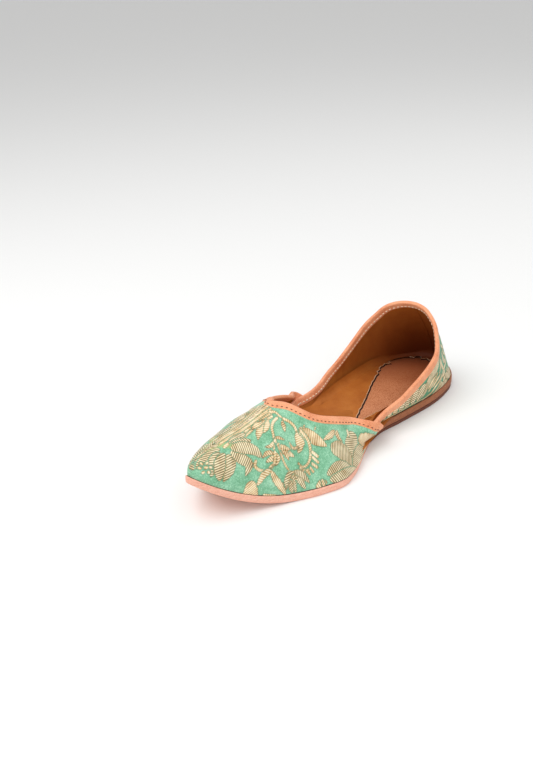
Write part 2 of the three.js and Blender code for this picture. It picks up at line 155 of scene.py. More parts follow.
QUARTER_RIBS = (
    QuarterRib(0.3, 0.21, 0, 0.1),
    QuarterRib(0.42, 0.215, 0, 0.3),
    QuarterRib(0.54, 0.25, 0, 0.95),
    QuarterRib(0.62, 0.32, 0, 1.1),
    QuarterRib(0.69, 0.41, 0.02, 0.85),
    QuarterRib(0.75, 0.51, 0.1, 0.7),
    QuarterRib(0.81, 0.63, 0.29, 0.5),
    QuarterRib(0.85, 0.74, 0.45, 0.12),
    QuarterRib(0.89, 0.84, 0.6, -0.35),
    QuarterRib(0.95, 0.955, 0.83, -0.85),
    QuarterRib(1, 1, 1, -1),
)


def smooth_step(value: np.ndarray, low: float | np.ndarray, high: float | np.ndarray) -> np.ndarray:
    """Gives the share, with level ends, of the way that a value has gone from low to high.

    Args:
        value: The values.
        low: Where the share is 0.
        high: Where the share is 1.

    Returns:
        The shares, from 0 to 1.
    """
    share = np.clip((value - low) / (high - low), 0, 1)
    return share * share * (3 - 2 * share)


class Curve:
    """Smooth curve through a table's points, without overshoot."""

    def __init__(self, places: Sequence[float], values: Sequence[float]) -> None:
        """Keeps the points and works out the slope at each one.

        Args:
            places: Where the points lie, in rising order.
            values: What the curve gives there.
        """
        self.places = np.array(places, float)
        self.values = np.array(values, float)
        slopes = np.diff(self.values) / np.diff(self.places)
        self.tangents = np.empty(len(self.values))
        self.tangents[0], self.tangents[-1] = slopes[0], slopes[-1]
        before, after = slopes[:-1], slopes[1:]
        same_way = before * after > 0
        total = np.where(same_way, before + after, 1)
        self.tangents[1:-1] = np.where(same_way, 2 * before * after / total, 0)

    def __call__(self, place: np.ndarray) -> np.ndarray:
        """Gives the curve's values.

        Args:
            place: Where to read the curve, held to its own range.

        Returns:
            The values there.
        """
        inside = np.clip(place, self.places[0], self.places[-1])
        last = len(self.places) - 1
        i = np.clip(np.searchsorted(self.places, inside), 1, last) - 1
        span = self.places[i + 1] - self.places[i]
        t = (inside - self.places[i]) / span
        start = self.values[i] * (1 + 2 * t) * (1 - t) ** 2
        start_slope = self.tangents[i] * span * t * (1 - t) ** 2
        end = self.values[i + 1] * t * t * (3 - 2 * t)
        end_slope = self.tangents[i + 1] * span * t * t * (t - 1)
        return start + start_slope + end + end_slope


@dataclass(frozen=True)
class Last:
    """Straight last of the shoe: the surfaces that its pieces follow, in millimetres.

    A station is a share of the length, counted from the tip of the toe. Surfaces are given on the
    near side, where x is above 0.
    """

    length: float = 250.0
    toe_spring: float = 24.0
    toe_spring_reach: float = 57.0
    sole_thickness: float = 4.8
    lift_thickness: float = 2.4
    lift_length: float = 112.0
    lift_taper: float = 42.0
    lift_tip: float = 0.7
    insole_thickness: float = 1.8
    wall: float = 2.0
    welt: float = 1.1
    crest_rise: float = 38.5
    throat_start: float = 66.0
    throat_length: float = 68.0
    collar_height: float = 61.0
    heel_lean: float = 31.0
    lean_curve: float = 1.45
    quarter_spread: float = 0.22
    spread_height: float = 6.0
    flap_length: float = 54.0
    binding_width: float = 4.2
    binding_thickness: float = 2.8
    clearance: float = 0.3
    wing_gap: float = 1.3
    wing_seat: float = -1.1
    wing_blend: float = 1.2
    wing_hug: float = 18.0
    flap_fade: float = 0.05
    ridge_margin: float = 0.08
    level_foot: float = 0.5

    @staticmethod
    def angle_of(station: np.ndarray) -> np.ndarray:
        """Gives the angle of a station, with short steps at the round ends."""
        return np.arccos(1 - 2 * np.clip(station, 0, 1))

    @classmethod
    def stations_between(cls, first: float, last: float, steps: int) -> np.ndarray:
        """Gives stations from first to last, spaced by their angle."""
        return (1 - np.cos(np.linspace(cls.angle_of(first), cls.angle_of(last), steps + 1))) / 2

    @cached_property
    def half_at_angle(self) -> Curve:
        """Half width of the sole by a station's angle, with round ends."""
        angles = [float(self.angle_of(row.at)) for row in OUTLINE]
        halves = [row.width * row.share / 2 for row in OUTLINE]
        places = [-angles[0], 0, *angles, math.pi, 2 * math.pi - angles[-1]]
        return Curve(places, [-halves[0], 0, *halves, 0, -halves[-1]])

    def outline(self, station: np.ndarray, inset: float | np.ndarray = 0) -> tuple[np.ndarray, np.ndarray]:
        """Gives points of the sole's outline, moved inwards square to it.

        Args:
            station: The points' stations.
            inset: How far inwards they are moved.

        Returns:
            The x and y of each point.
        """
        angle = self.angle_of(station)
        step = SMALL_STEP
        slope = (self.half_at_angle(angle + step) - self.half_at_angle(angle - step)) / (2 * step)
        length_slope = self.length / 2 * np.sin(angle)
        size = np.hypot(slope, length_slope)
        x = self.half_at_angle(angle) - inset * length_slope / size
        y = (station - 0.5) * self.length + inset * slope / size
        return np.maximum(x, 0), y

    def lift_at(self, y: np.ndarray) -> np.ndarray:
        """Gives the heel lift's thickness along the shoe."""
        behind_tip = y + self.length / 2 - (self.length - self.lift_length)
        return self.lift_thickness * smooth_step(behind_tip, -self.lift_taper / 2, self.lift_taper / 2)

    def underside(self, y: np.ndarray) -> np.ndarray:
        """Gives the height of the sole's underside along the shoe.

        Args:
            y: The places along the shoe.

        Returns:
            The heights.
        """
        toe = np.maximum(1 - (y + self.length / 2) / self.toe_spring_reach, 0)
        lift = self.lift_at(y)
        return self.toe_spring * toe**2 + lift + self.clearance * lift / self.lift_thickness

    def sole_top(self, y: np.ndarray) -> np.ndarray:
        """Gives the height of the sole's top along the shoe."""
        return self.underside(y) + self.sole_thickness

    def insole_top(self, y: np.ndarray) -> np.ndarray:
        """Gives the height of the insole's top along the shoe."""
        return self.sole_top(y) + self.clearance + self.insole_thickness

    @property
    def throat_station(self) -> float:
        """Station of the throat's crest."""
        return self.throat_start / self.length

    @property
    def corner_station(self) -> float:
        """Station at which a wing of the vamp ends."""
        return (self.throat_start + self.throat_length) / self.length

    @property
    def flap_station(self) -> float:
        """Station at which the quarters' flaps end, inside the vamp."""
        return self.corner_station - self.flap_length / self.length

    @property
    def flap_hinge(self) -> float:
        """Station in front of which the quarters run straight on as flaps."""
        return self.corner_station - self.flap_fade / 2

    @cached_property
    def rib_curves(self) -> dict[str, Curve]:
        """Curves through the columns of the vamp's and the quarters' ribs."""
        curves = {}
        for rows, columns in ((VAMP_RIBS, VampRib._fields[1:]), (QUARTER_RIBS, QuarterRib._fields[1:])):
            for column in columns:
                curves[column] = Curve([row.at for row in rows], [getattr(row, column) for row in rows])
        return curves

    @cached_property
    def throat_opening(self) -> Curve:
        """Open share of the vamp's width, by the root of the share of the throat's length."""
        return Curve([math.sqrt(row.along) for row in THROAT_EDGE], [row.open for row in THROAT_EDGE])

    def vamp_foot(self, station: np.ndarray) -> tuple[np.ndarray, np.ndarray, np.ndarray]:
        """Gives the inner foot of the vamp's wall on the sole.

        Args:
            station: The stations.

        Returns:
            The x, y and z of the foot.
        """
        x, y = self.outline(station, self.wall + self.welt * self.rib_curves["welt"](station))
        return x, y, self.sole_top(y) + self.clearance

    def vamp_end_angle(self, station: np.ndarray) -> np.ndarray:
        """Gives the angle up a rib at which the vamp ends: the ridge, or the throat's edge.

        Args:
            station: The ribs' stations.

        Returns:
            The angles, from 0 at the foot to a right angle at the ridge.
        """
        span = self.corner_station - self.throat_station
        along = np.clip((station - self.throat_station) / span, 0, 1)
        opened = self.throat_opening(np.sqrt(along))
        return np.arccos(np.clip(opened, 0, 1) ** (self.rib_curves["fullness"](station) / 2))

    @cached_property
    def ridge_slope(self) -> float:
        """Slope of the ridge from the toe to the crest."""
        first, last = np.array(0.0), np.array(self.throat_station)
        crown_y = [(self.rib_curves["crown"](s) - 0.5) * self.length for s in (first, last)]
        height = [self.vamp_foot(s)[2] + self.crest_rise * self.rib_curves["rise"](s) for s in (first, last)]
        return float((height[1] - height[0]) / (crown_y[1] - crown_y[0]))

    def vamp_point(self, station: np.ndarray, angle: np.ndarray) -> np.ndarray:
        """Gives points of the vamp's inner surface.

        Args:
            station: The stations of the points' ribs.
            angle: The angles up the ribs, from 0 at the foot to a right angle at the ridge.

        Returns:
            The points, with x, y and z on the last axis.
        """
        foot_x, foot_y, foot_z = self.vamp_foot(station)
        power = 2 / self.rib_curves["fullness"](station)
        inward = np.maximum(np.cos(angle), 0) ** power
        upward = np.maximum(np.sin(angle), 0) ** power
        crown_y = (self.rib_curves["crown"](station) - 0.5) * self.length
        y = crown_y + (foot_y - crown_y) * inward
        rise = self.crest_rise * self.rib_curves["rise"](station)
        z = foot_z + (rise - self.ridge_slope * (crown_y - y)) * upward
        return np.stack([self.over_quarter(foot_x * inward, station, z), y, z], -1)

    def over_quarter(self, x: np.ndarray, station: np.ndarray, z: np.ndarray) -> np.ndarray:
        """Moves the wings of the vamp outside the quarters that they lie over.

        Args:
            x: Half widths of the vamp.
            station: Their stations.
            z: Their heights.

        Returns:
            The half widths of the vamp over the quarters.
        """
        share = smooth_step(station, self.flap_station - self.flap_fade, self.flap_station + self.flap_fade)
        foot_z = self.quarter_foot(station)[2]
        topline = self.quarter_topline(station)
        band = smooth_step(z, foot_z, topline - self.binding_width)
        reach = (self.wall + self.binding_thickness) / 2 + self.wing_gap
        seat = self.wall + self.wing_seat
        covered = self.quarter_half(station, z - foot_z) + seat + (reach - seat) * band
        outside = (x + covered + np.hypot(x - covered, self.wing_blend)) / 2
        hug = smooth_step(station, self.corner_station - self.wing_hug / self.length, self.corner_station)
        over = outside + (covered - outside) * hug
        clear_above = smooth_step(z, topline + self.clearance, topline + 2 * self.binding_width)
        return x + (over - x) * share * (1 - clear_above)

    def quarter_topline(self, station: np.ndarray) -> np.ndarray:
        """Gives the height of the quarters' bound edge."""
        return self.collar_height * self.rib_curves["topline"](station)

    def quarter_foot(self, station: np.ndarray) -> tuple[np.ndarray, np.ndarray, np.ndarray]:
        """Gives the inner foot of the quarters, which run straight on as flaps over the insole.

        Args:
            station: The stations.

        Returns:
            The x, y and z of the foot.
        """
        x, y = self.outline(station, self.welt + self.wall)
        straight = self.outline(np.array(self.flap_hinge), self.welt + self.wall)[0]
        behind = np.asarray(station) > self.flap_hinge + SAME_STATION
        z = np.where(behind, self.sole_top(y), self.insole_top(y)) + self.clearance
        return np.where(behind, x, np.minimum(x, straight)), y, z

    def quarter_half(self, station: np.ndarray, rise: np.ndarray) -> np.ndarray:
        """Gives the half width of the quarters at a rise above their foot.

        Args:
            station: The stations.
            rise: The heights above the foot.

        Returns:
            The half widths.
        """
        settled = 1 - np.exp(-np.maximum(rise, 0) / self.spread_height)
        spread = self.quarter_spread * self.rib_curves["spread"](station)
        return self.quarter_foot(station)[0] * (1 + spread * settled)

    def quarter_point(self, station: np.ndarray, share: np.ndarray) -> np.ndarray:
        """Gives points of the quarters' inner surface, by station and share of the wall's height.

        Args:
            station: The stations of the points' ribs.
            share: Shares of the wall's height.

        Returns:
            The points, with x, y and z on the last axis.
        """
        _, foot_y, foot_z = self.quarter_foot(station)
        rise = (self.quarter_topline(station) - self.binding_width - foot_z) * share
        height = np.maximum(rise / (self.collar_height - foot_z), 0) ** self.lean_curve
        lean = self.heel_lean * self.rib_curves["lean"](station) * height
        return np.stack([self.quarter_half(station, rise), foot_y - lean, foot_z + rise], -1)

    def normals(self, surface: Surface, u: np.ndarray, v: np.ndarray) -> np.ndarray:
        """Gives the outward normals of one of the surfaces above.

        Args:
            surface: The function of the surface.
            u: The first values that it takes.
            v: The second values that it takes.

        Returns:
            The normals, with x, y and z on the last axis.
        """
        along_u = surface(u + SMALL_STEP, v) - surface(u - SMALL_STEP, v)
        along_v = surface(u, v + SMALL_STEP) - surface(u, v - SMALL_STEP)
        normal = np.cross(along_u, along_v)
        return normal / np.linalg.norm(normal, axis=-1, keepdims=True)

    def in_wall(self, point: np.ndarray, normal: np.ndarray, height: np.ndarray,
                offset: float) -> np.ndarray:
        """Gives points in the thickness of a wall, cut at its foot along the sole's top.

        Args:
            point: Points of the wall's inner face.
            normal: The outward normals there.
            height: How far up the wall each point is, 0 at the foot.
            offset: The points' depth in the wall, from its inner face.

        Returns:
            The points.
        """
        square = smooth_step(height, 0, self.level_foot)
        direction = normal * np.stack([np.ones_like(square), np.ones_like(square), square], -1)
        direction /= np.linalg.norm(direction, axis=-1, keepdims=True)
        moved = point + direction * offset
        moved[..., 2] += (self.sole_top(moved[..., 1]) - self.sole_top(point[..., 1])) * (1 - square)
        return moved

    def vamp_wall(self, station: np.ndarray, angle: np.ndarray,
                  offset: float) -> tuple[np.ndarray, np.ndarray]:
        """Gives points in the thickness of the vamp.

        Args:
            station: The stations of the points' ribs.
            angle: The angles up the ribs.
            offset: The points' depth in the wall, from its inner face.

        Returns:
            The points, and the outward normals there.
        """
        point = self.vamp_point(station, angle)
        safe_station = np.maximum(station, 4 * SMALL_STEP)
        safe_angle = np.clip(angle, 2 * SMALL_STEP, math.pi / 2 - self.ridge_margin)
        normal = self.normals(self.vamp_point, safe_station, safe_angle)
        return self.in_wall(point, normal, angle / (math.pi / 2), offset), normal

    def quarter_wall(self, station: np.ndarray, share: np.ndarray,
                     offset: float) -> tuple[np.ndarray, np.ndarray]:
        """Gives points in the thickness of the quarters.

        Args:
            station: The stations of the points' ribs.
            share: Shares of the wall's height.
            offset: The points' depth in the wall, from its inner face.

        Returns:
            The points, and the outward normals there.
        """
        point = self.quarter_point(station, share)
        safe_station = np.minimum(station, 1 - 4 * SMALL_STEP)
        normal = self.normals(self.quarter_point, safe_station, np.maximum(share, 2 * SMALL_STEP))
        return self.in_wall(point, normal, share, offset), normal


# Woven pattern

class Motif(Enum):
    """Kinds of woven shape: all in gold thread, save the pale green heart of a flower."""

    STEM = "stem"
    LEAF = "leaf"
    PETAL = "petal"
    BEAD = "bead"
    HEART = "heart"


class Shape(NamedTuple):
    """One woven shape: its middle line on the flat cloth, and its widest half width."""

    motif: Motif
    half_width: float
    line: tuple[tuple[float, float], ...]


@dataclass(frozen=True)
class Brocade:
    """Gold shapes on the flat cloth, read as a distance to their edge and a place along their ribs."""

    shapes: tuple[Shape, ...]
    feather: float = 0.1
    feather_pitch: float = 2.9
    rib_slant: float = 0.5
    petal_growth: float = 1.25
    leaf_growth: float = 1.15
    outline: float = 0.45
    openness: dict[Motif, float] = field(default_factory=lambda: {
        Motif.STEM: 0.1, Motif.BEAD: 0.1, Motif.LEAF: 0.45, Motif.PETAL: 1.0})
    stem_taper: float = 0.35
    belly_shift: float = 0.8
    belly_power: float = 0.7
    far: float = 6.0
    line_steps: int = 7

    def smooth_line(self, line: Sequence[tuple[float, float]]) -> np.ndarray:
        """Gives points on a smooth curve through a shape's middle line.

        Args:
            line: The middle line's points.

        Returns:
            The curve's points.
        """
        points = np.array(line, float)
        if len(points) < 3:
            share = np.linspace(0, 1, self.line_steps)[:, None]
            return points[0] + (points[-1] - points[0]) * share
        lengths = np.concatenate([[0], np.cumsum(np.hypot(*np.diff(points, axis=0).T))])
        places = np.linspace(0, lengths[-1], self.line_steps * (len(points) - 1))
        padded = np.vstack([2 * points[0] - points[1], points, 2 * points[-1] - points[-2]])
        i = np.clip(np.searchsorted(lengths, places, side="right") - 1, 0, len(points) - 2)
        t = ((places - lengths[i]) / (lengths[i + 1] - lengths[i]))[:, None]
        before, start, end, after = (padded[i + k] for k in range(4))
        bend = (2 * before - 5 * start + 4 * end - after) * t**2
        twist = (3 * start - before - 3 * end + after) * t**3
        return 0.5 * (2 * start + (end - before) * t + bend + twist)

    def half_width_at(self, shape: Shape, share: np.ndarray, along: np.ndarray) -> np.ndarray:
        """Gives a shape's half width along its middle line.

        Args:
            shape: The shape.
            share: Share of the way along its line.
            along: The same place in millimetres.

        Returns:
            The half widths.
        """
        if shape.motif is Motif.STEM:
            return shape.half_width * (1 - self.stem_taper * share)
        if shape.motif in (Motif.BEAD, Motif.HEART):
            return np.full_like(share, shape.half_width)
        belly = np.sin(math.pi * np.clip(share, 0, 1) ** self.belly_shift) ** self.belly_power
        leaf = shape.motif is Motif.LEAF
        growth = self.leaf_growth if leaf else self.petal_growth
        feather = self.feather if leaf else self.feather / 2
        widest = shape.half_width * growth * belly
        return widest * (1 + feather * np.cos(2 * math.pi * along / self.feather_pitch))

    def read(self, flat: np.ndarray) -> dict[str, np.ndarray]:
        """Reads the pattern on the cloth.

        Args:
            flat: Places on the flat cloth, in millimetres.

        Returns:
            By name: "depth", the distance inside the nearest gold shape's edge, below 0 outside it;
            "rib", the place along that shape's ribs; "open", 1 where the ribs stand apart and 0
            where they are packed close; and "heart", the distance inside a pale heart's edge.
        """
        layers = {name: np.zeros(len(flat)) for name in ("depth", "rib", "open", "heart")}
        layers["depth"] -= self.far
        layers["heart"] -= self.far
        for shape in self.shapes:
            line = self.smooth_line(shape.line)
            margin = shape.half_width + self.far / 3
            inside = (flat > line.min(axis=0) - margin) & (flat < line.max(axis=0) + margin)
            near = np.flatnonzero(inside.all(axis=1))
            if len(near):
                self.lay_shape(shape, line, flat[near], near, layers)
        return layers

    def lay_shape(self, shape: Shape, line: np.ndarray, places: np.ndarray, near: np.ndarray,
                  layers: dict[str, np.ndarray]) -> None:
        """Lays one shape over those read so far.

        Args:
            shape: The shape.
            line: Its smooth middle line.
            places: Places on the cloth near it.
            near: Their numbers in the whole list.
            layers: What is read so far, which is changed.
        """
        steps = np.hypot(*np.diff(line, axis=0).T)
        starts = np.concatenate([[0], np.cumsum(steps)])
        best = np.full(len(places), -np.inf)
        best_rib = np.zeros(len(places))
        for k, step in enumerate(steps):
            if step == 0:
                continue
            direction = (line[k + 1] - line[k]) / step
            offset = places - line[k]
            t = np.clip(offset @ direction, 0, step)
            side = offset - t[:, None] * direction
            turn = side[:, 0] * direction[1] - side[:, 1] * direction[0]
            along = starts[k] + t
            distance = np.hypot(side[:, 0], side[:, 1])
            depth = self.half_width_at(shape, along / starts[-1], along) - distance
            better = depth > best
            best = np.where(better, depth, best)
            best_rib = np.where(better, along + self.rib_slant * turn, best_rib)
        if shape.motif is Motif.HEART:
            layers["heart"][near] = np.maximum(layers["heart"][near], best)
            return
        if shape.motif in (Motif.LEAF, Motif.PETAL):
            chord = (line[-1] - line[0]) / np.hypot(*(line[-1] - line[0]))
            across = np.array([chord[1], -chord[0]])
            best_rib = (places - line[0]) @ (chord + self.rib_slant * across)
        layers["depth"][near] = np.minimum(layers["depth"][near], -best - self.outline)
        over = best > layers["depth"][near]
        layers["depth"][near[over]] = best[over]
        layers["rib"][near[over]] = best_rib[over]
        layers["open"][near[over]] = self.openness[shape.motif]


# Meshes

@dataclass
class MeshData:
    """Corners, faces and values per corner of one piece, in millimetres."""

    corners: np.ndarray
    faces: Faces
    flat: np.ndarray | None = None
    values: dict[str, np.ndarray] | None = None

    def joined(self, other: MeshData) -> MeshData:
        """Gives this mesh and another one as one mesh.

        Args:
            other: The other mesh.

        Returns:
            The joined mesh.
        """
        shifted = [tuple(i + len(self.corners) for i in face) for face in other.faces]
        flat = None
        if self.flat is not None and other.flat is not None:
            flat = np.vstack([self.flat, other.flat])
        values = None
        if self.values is not None and other.values is not None:
            values = {name: np.concatenate([self.values[name], other.values[name]]) for name in self.values}
        return MeshData(np.vstack([self.corners, other.corners]), self.faces + shifted, flat, values)

    def mirrored(self) -> MeshData:
        """Gives the mirror image for the far side of the shoe."""
        flat = None if self.flat is None else self.flat * (1, -1)
        return MeshData(self.corners * (-1, 1, 1), [face[::-1] for face in self.faces], flat, self.values)


def grid_faces(rows: int, columns: int, first: int = 0, turned: bool = False) -> Faces:
    """Gives the quads of a grid of corners.

    Args:
        rows: Rows of the grid.
        columns: Columns of the grid.
        first: Number of its first corner.
        turned: Whether the faces look the other way.

    Returns:
        The faces.
    """
    i, j = np.meshgrid(np.arange(rows - 1), np.arange(columns - 1), indexing="ij")
    corner = first + (i * columns + j).ravel()
    ring = [corner, corner + columns, corner + columns + 1, corner + 1]
    if turned:
        ring.reverse()
    return list(map(tuple, np.stack(ring, -1).tolist()))


def border_of(rows: int, columns: int) -> list[int]:
    """Gives the corners round a grid, in order.

    Args:
        rows: Rows of the grid.
        columns: Columns of the grid.

    Returns:
        Their numbers.
    """
    top = list(range(columns))
    right = [i * columns + columns - 1 for i in range(1, rows)]
    bottom = [(rows - 1) * columns + j for j in range(columns - 2, -1, -1)]
    left = [i * columns for i in range(rows - 2, 0, -1)]
    return top + right + bottom + left


def thick_sheet(inner: Grid, outer: Grid, closed: bool) -> tuple[np.ndarray, Faces]:
    """Gives a sheet between two grids of points.

    Args:
        inner: Points of its inner face.
        outer: Points of its outer face.
        closed: Whether it has its inner face, or only its outer one and its turned edges.

    Returns:
        The corners and the faces.
    """
    rows, columns = outer.shape[:2]
    count = rows * columns
    faces = grid_faces(rows, columns)
    ring = border_of(rows, columns)
    if closed:
        faces += grid_faces(rows, columns, count, turned=True)
        turned_in = [count + i for i in ring]
        corners = np.vstack([outer.reshape(-1, 3), inner.reshape(-1, 3)])
    else:
        turned_in = [count + k for k in range(len(ring))]
        corners = np.vstack([outer.reshape(-1, 3), inner.reshape(-1, 3)[ring]])
    for k in range(len(ring)):
        after = (k + 1) % len(ring)
        faces.append((ring[k], ring[after], turned_in[after], turned_in[k]))
    return corners, faces


def tube(rings: Grid, closed: bool = False) -> MeshData:
    """Gives a tube through rings of points, with a flat end at each side unless it is closed.

    Args:
        rings: The rings, with their points on the second axis.
        closed: Whether the last ring joins the first one.

    Returns:
        The tube's mesh.
    """
    count, sides = rings.shape[:2]
    faces: Faces = []
    for i in range(count if closed else count - 1):
        after = (i + 1) % count
        for j in range(sides):
            turn = (j + 1) % sides
            faces.append((i * sides + j, i * sides + turn, after * sides + turn, after * sides + j))
    if not closed:
        faces.append(tuple(range(sides - 1, -1, -1)))
        faces.append(tuple(range((count - 1) * sides, count * sides)))
    return MeshData(rings.reshape(-1, 3), faces)


# Edges that turn by more degrees than this are shown sharp.
SHARP_ANGLE = 65.0
# Corners nearer than this many metres are one corner.
SAME_CORNER = 1e-7


def make_piece(name: str, data: MeshData, material: bpy.types.Material,
               nodes: Sequence[str] = ()) -> bpy.types.Object:
    """Makes one piece of the shoe, in metres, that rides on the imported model.

    Args:
        name: The piece's name.
        data: Its mesh in millimetres.
        material: Its finish.
        nodes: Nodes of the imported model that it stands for.

    Returns:
        The piece.
    """
    mesh = bpy.data.meshes.new(name)
    mesh.from_pydata((data.corners * MM).tolist(), [], data.faces)
    for key, values in (data.values or {}).items():
        mesh.attributes.new(key, "FLOAT", "POINT").data.foreach_set("value", values.astype(np.float32))
    if data.flat is not None:
        corner_of_loop = np.empty(len(mesh.loops), np.int32)
        mesh.loops.foreach_get("vertex_index", corner_of_loop)
        layer = mesh.uv_layers.new(name="flat")
        layer.data.foreach_set("uv", (data.flat[corner_of_loop] * MM).astype(np.float32).ravel())
    shape = bmesh.new()
    shape.from_mesh(mesh)
    bmesh.ops.remove_doubles(shape, verts=shape.verts, dist=SAME_CORNER)
    bmesh.ops.recalc_face_normals(shape, faces=shape.faces)
    shape.to_mesh(mesh)
    shape.free()
    mesh.shade_smooth()
    mesh.set_sharp_from_angle(angle=math.radians(SHARP_ANGLE))
    mesh.materials.append(material)
    piece = bpy.data.objects.new(name, mesh)
    bpy.context.scene.collection.objects.link(piece)
    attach(piece, "root")
    if nodes:
        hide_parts(*nodes)
    LOG.info("%s: %d faces", name, len(mesh.polygons))
    return piece


# Finishes

def linear(hex_colour: str) -> tuple[float, float, float, float]:
    """Turns an sRGB hex colour into Blender's linear colour.

    Args:
        hex_colour: The colour, such as "#84C7A0".

    Returns:
        Linear red, green, blue and a full alpha.
    """
    parts = [int(hex_colour[i:i + 2], 16) / 255 for i in (1, 3, 5)]
    red, green, blue = [p / 12.92 if p <= 0.04045 else ((p + 0.055) / 1.055) ** 2.4 for p in parts]
    return red, green, blue, 1.0


def add_node(tree: bpy.types.NodeTree, kind: str, settings: dict[str, Any] | None = None,
             inputs: dict[str | int, Any] | None = None) -> bpy.types.Node:
    """Adds a node, sets it, and links it.

    Args:
        tree: The material's node tree.
        kind: The node's type name, without the leading "ShaderNode".
        settings: Its own settings by name, and a ramp's colour stops as "stops".
        inputs: Its sockets by name or number: another node's output is linked, any other value set.

    Returns:
        The node.
    """
    node = tree.nodes.new(f"ShaderNode{kind}")
    for name, value in (settings or {}).items():
        if name != "stops":
            setattr(node, name, value)
            continue
        while len(node.color_ramp.elements) < len(value):
            node.color_ramp.elements.new(0.5)
        for element, (position, colour) in zip(node.color_ramp.elements, value):
            element.position = position
            element.color = linear(colour)
    for name, value in (inputs or {}).items():
        if isinstance(value, bpy.types.NodeSocket):
            tree.links.new(value, node.inputs[name])
        else:
            node.inputs[name].default_value = value
    return node


def new_material(name: str) -> tuple[bpy.types.Material, bpy.types.NodeTree]:
    """Gives an empty material.

    Args:
        name: The material's name.

    Returns:
        The material and its node tree.
    """
    material = bpy.data.materials.new(name)
    material.use_nodes = True
    material.node_tree.nodes.clear()
    return material, material.node_tree


@dataclass(frozen=True)
class Leather:
    """Tanned leather, dyed and rubbed with wax.

    The eye sees a soft gloss broken by pores, over slow changes of colour where the dye went in
    unevenly. Pores of 0.2 mm are too fine to show, so they are drawn two to five times as coarse.
    """

    name: str
    dark: str
    base: str
    light: str
    roughness: float = 0.5
    pore_mm: float = 0.7
    pore_depth_mm: float = 0.06
    cloud_mm: float = 14.0
    specular: float = 0.4
    pore_share: float = 0.3
    # Colour of the painted shade low towards the heel; the fields below place that shade along the shoe and
    # by height.
    heel_shade: str | None = None
    heel_start_mm: float = 45.0
    heel_full_mm: float = 118.0
    heel_high_mm: float = 62.0
    heel_low_mm: float = 14.0

    def build(self) -> bpy.types.Material:
        """Builds the leather's material.

        Returns:
            The material.
        """
        material, tree = new_material(self.name)
        place = add_node(tree, "TexCoord").outputs["Object"]
        cloud = add_node(tree, "TexNoise", inputs={
            "Vector": place, "Scale": 1 / (self.cloud_mm * MM), "Detail": 5.0, "Roughness": 0.6})
        pores = add_node(tree, "TexVoronoi", {"feature": "DISTANCE_TO_EDGE"}, {
            "Vector": place, "Scale": 1 / (self.pore_mm * MM), "Randomness": 1.0})
        creases = add_node(tree, "MapRange", {"interpolation_type": "SMOOTHSTEP"}, {
            "Value": pores.outputs["Distance"], "From Min": 0.0, "From Max": 0.25})
        fine = add_node(tree, "TexNoise", inputs={
            "Vector": place, "Scale": 2.5 / (self.pore_mm * MM), "Detail": 3.0})
        shade = add_node(tree, "Mix", {"data_type": "FLOAT"}, {
            0: self.pore_share, 2: cloud.outputs["Fac"], 3: creases.outputs["Result"]})
        stops = ((0.25, self.dark), (0.52, self.base), (0.85, self.light))
        colour = add_node(tree, "ValToRGB", {"stops": stops}, {"Fac": shade.outputs[0]}).outputs["Color"]
        # Painted shade, low towards the heel where the heel cup lies in shadow.
        if self.heel_shade:
            colour = self.painted_heel_shade(tree, place, colour)
        grain = add_node(tree, "Math", {"operation": "MULTIPLY_ADD"}, {
            0: fine.outputs["Fac"], 1: 0.5, 2: creases.outputs["Result"]})
        bump = add_node(tree, "Bump", inputs={
            "Height": grain.outputs[0], "Strength": 0.5, "Distance": self.pore_depth_mm * MM})
        rough = add_node(tree, "MapRange", inputs={
            "Value": shade.outputs[0], "To Min": self.roughness + 0.1, "To Max": self.roughness - 0.08})
        shader = add_node(tree, "BsdfPrincipled", inputs={
            "Base Color": colour, "Roughness": rough.outputs["Result"], "Normal": bump.outputs["Normal"],
            "Specular IOR Level": self.specular})
        add_node(tree, "OutputMaterial", inputs={"Surface": shader.outputs["BSDF"]})
        return material

    def painted_heel_shade(self, tree: bpy.types.NodeTree, place: bpy.types.NodeSocket,
                      colour: bpy.types.NodeSocket) -> bpy.types.NodeSocket:
        """Paints shade into the leather low towards the heel, where the heel cup lies in shadow.

        Args:
            tree: The material's node tree.
            place: The place on the shoe.
            colour: The colour to darken.

        Returns:
            The darkened colour.
        """
        parts = add_node(tree, "SeparateXYZ", inputs={"Vector": place})
        back = add_node(tree, "MapRange", {"interpolation_type": "SMOOTHSTEP"}, {
            "Value": parts.outputs["Y"], "From Min": self.heel_start_mm * MM,
            "From Max": self.heel_full_mm * MM})
        low = add_node(tree, "MapRange", {"interpolation_type": "SMOOTHSTEP"}, {
            "Value": parts.outputs["Z"], "From Min": self.heel_high_mm * MM,
            "From Max": self.heel_low_mm * MM, "To Min": 0.25})
        share = add_node(tree, "Math", {"operation": "MULTIPLY"}, {
            0: back.outputs["Result"], 1: low.outputs["Result"]})
        return add_node(tree, "Mix", {"data_type": "RGBA"}, {
            0: share.outputs[0], 6: colour, 7: linear(self.heel_shade)}).outputs[2]


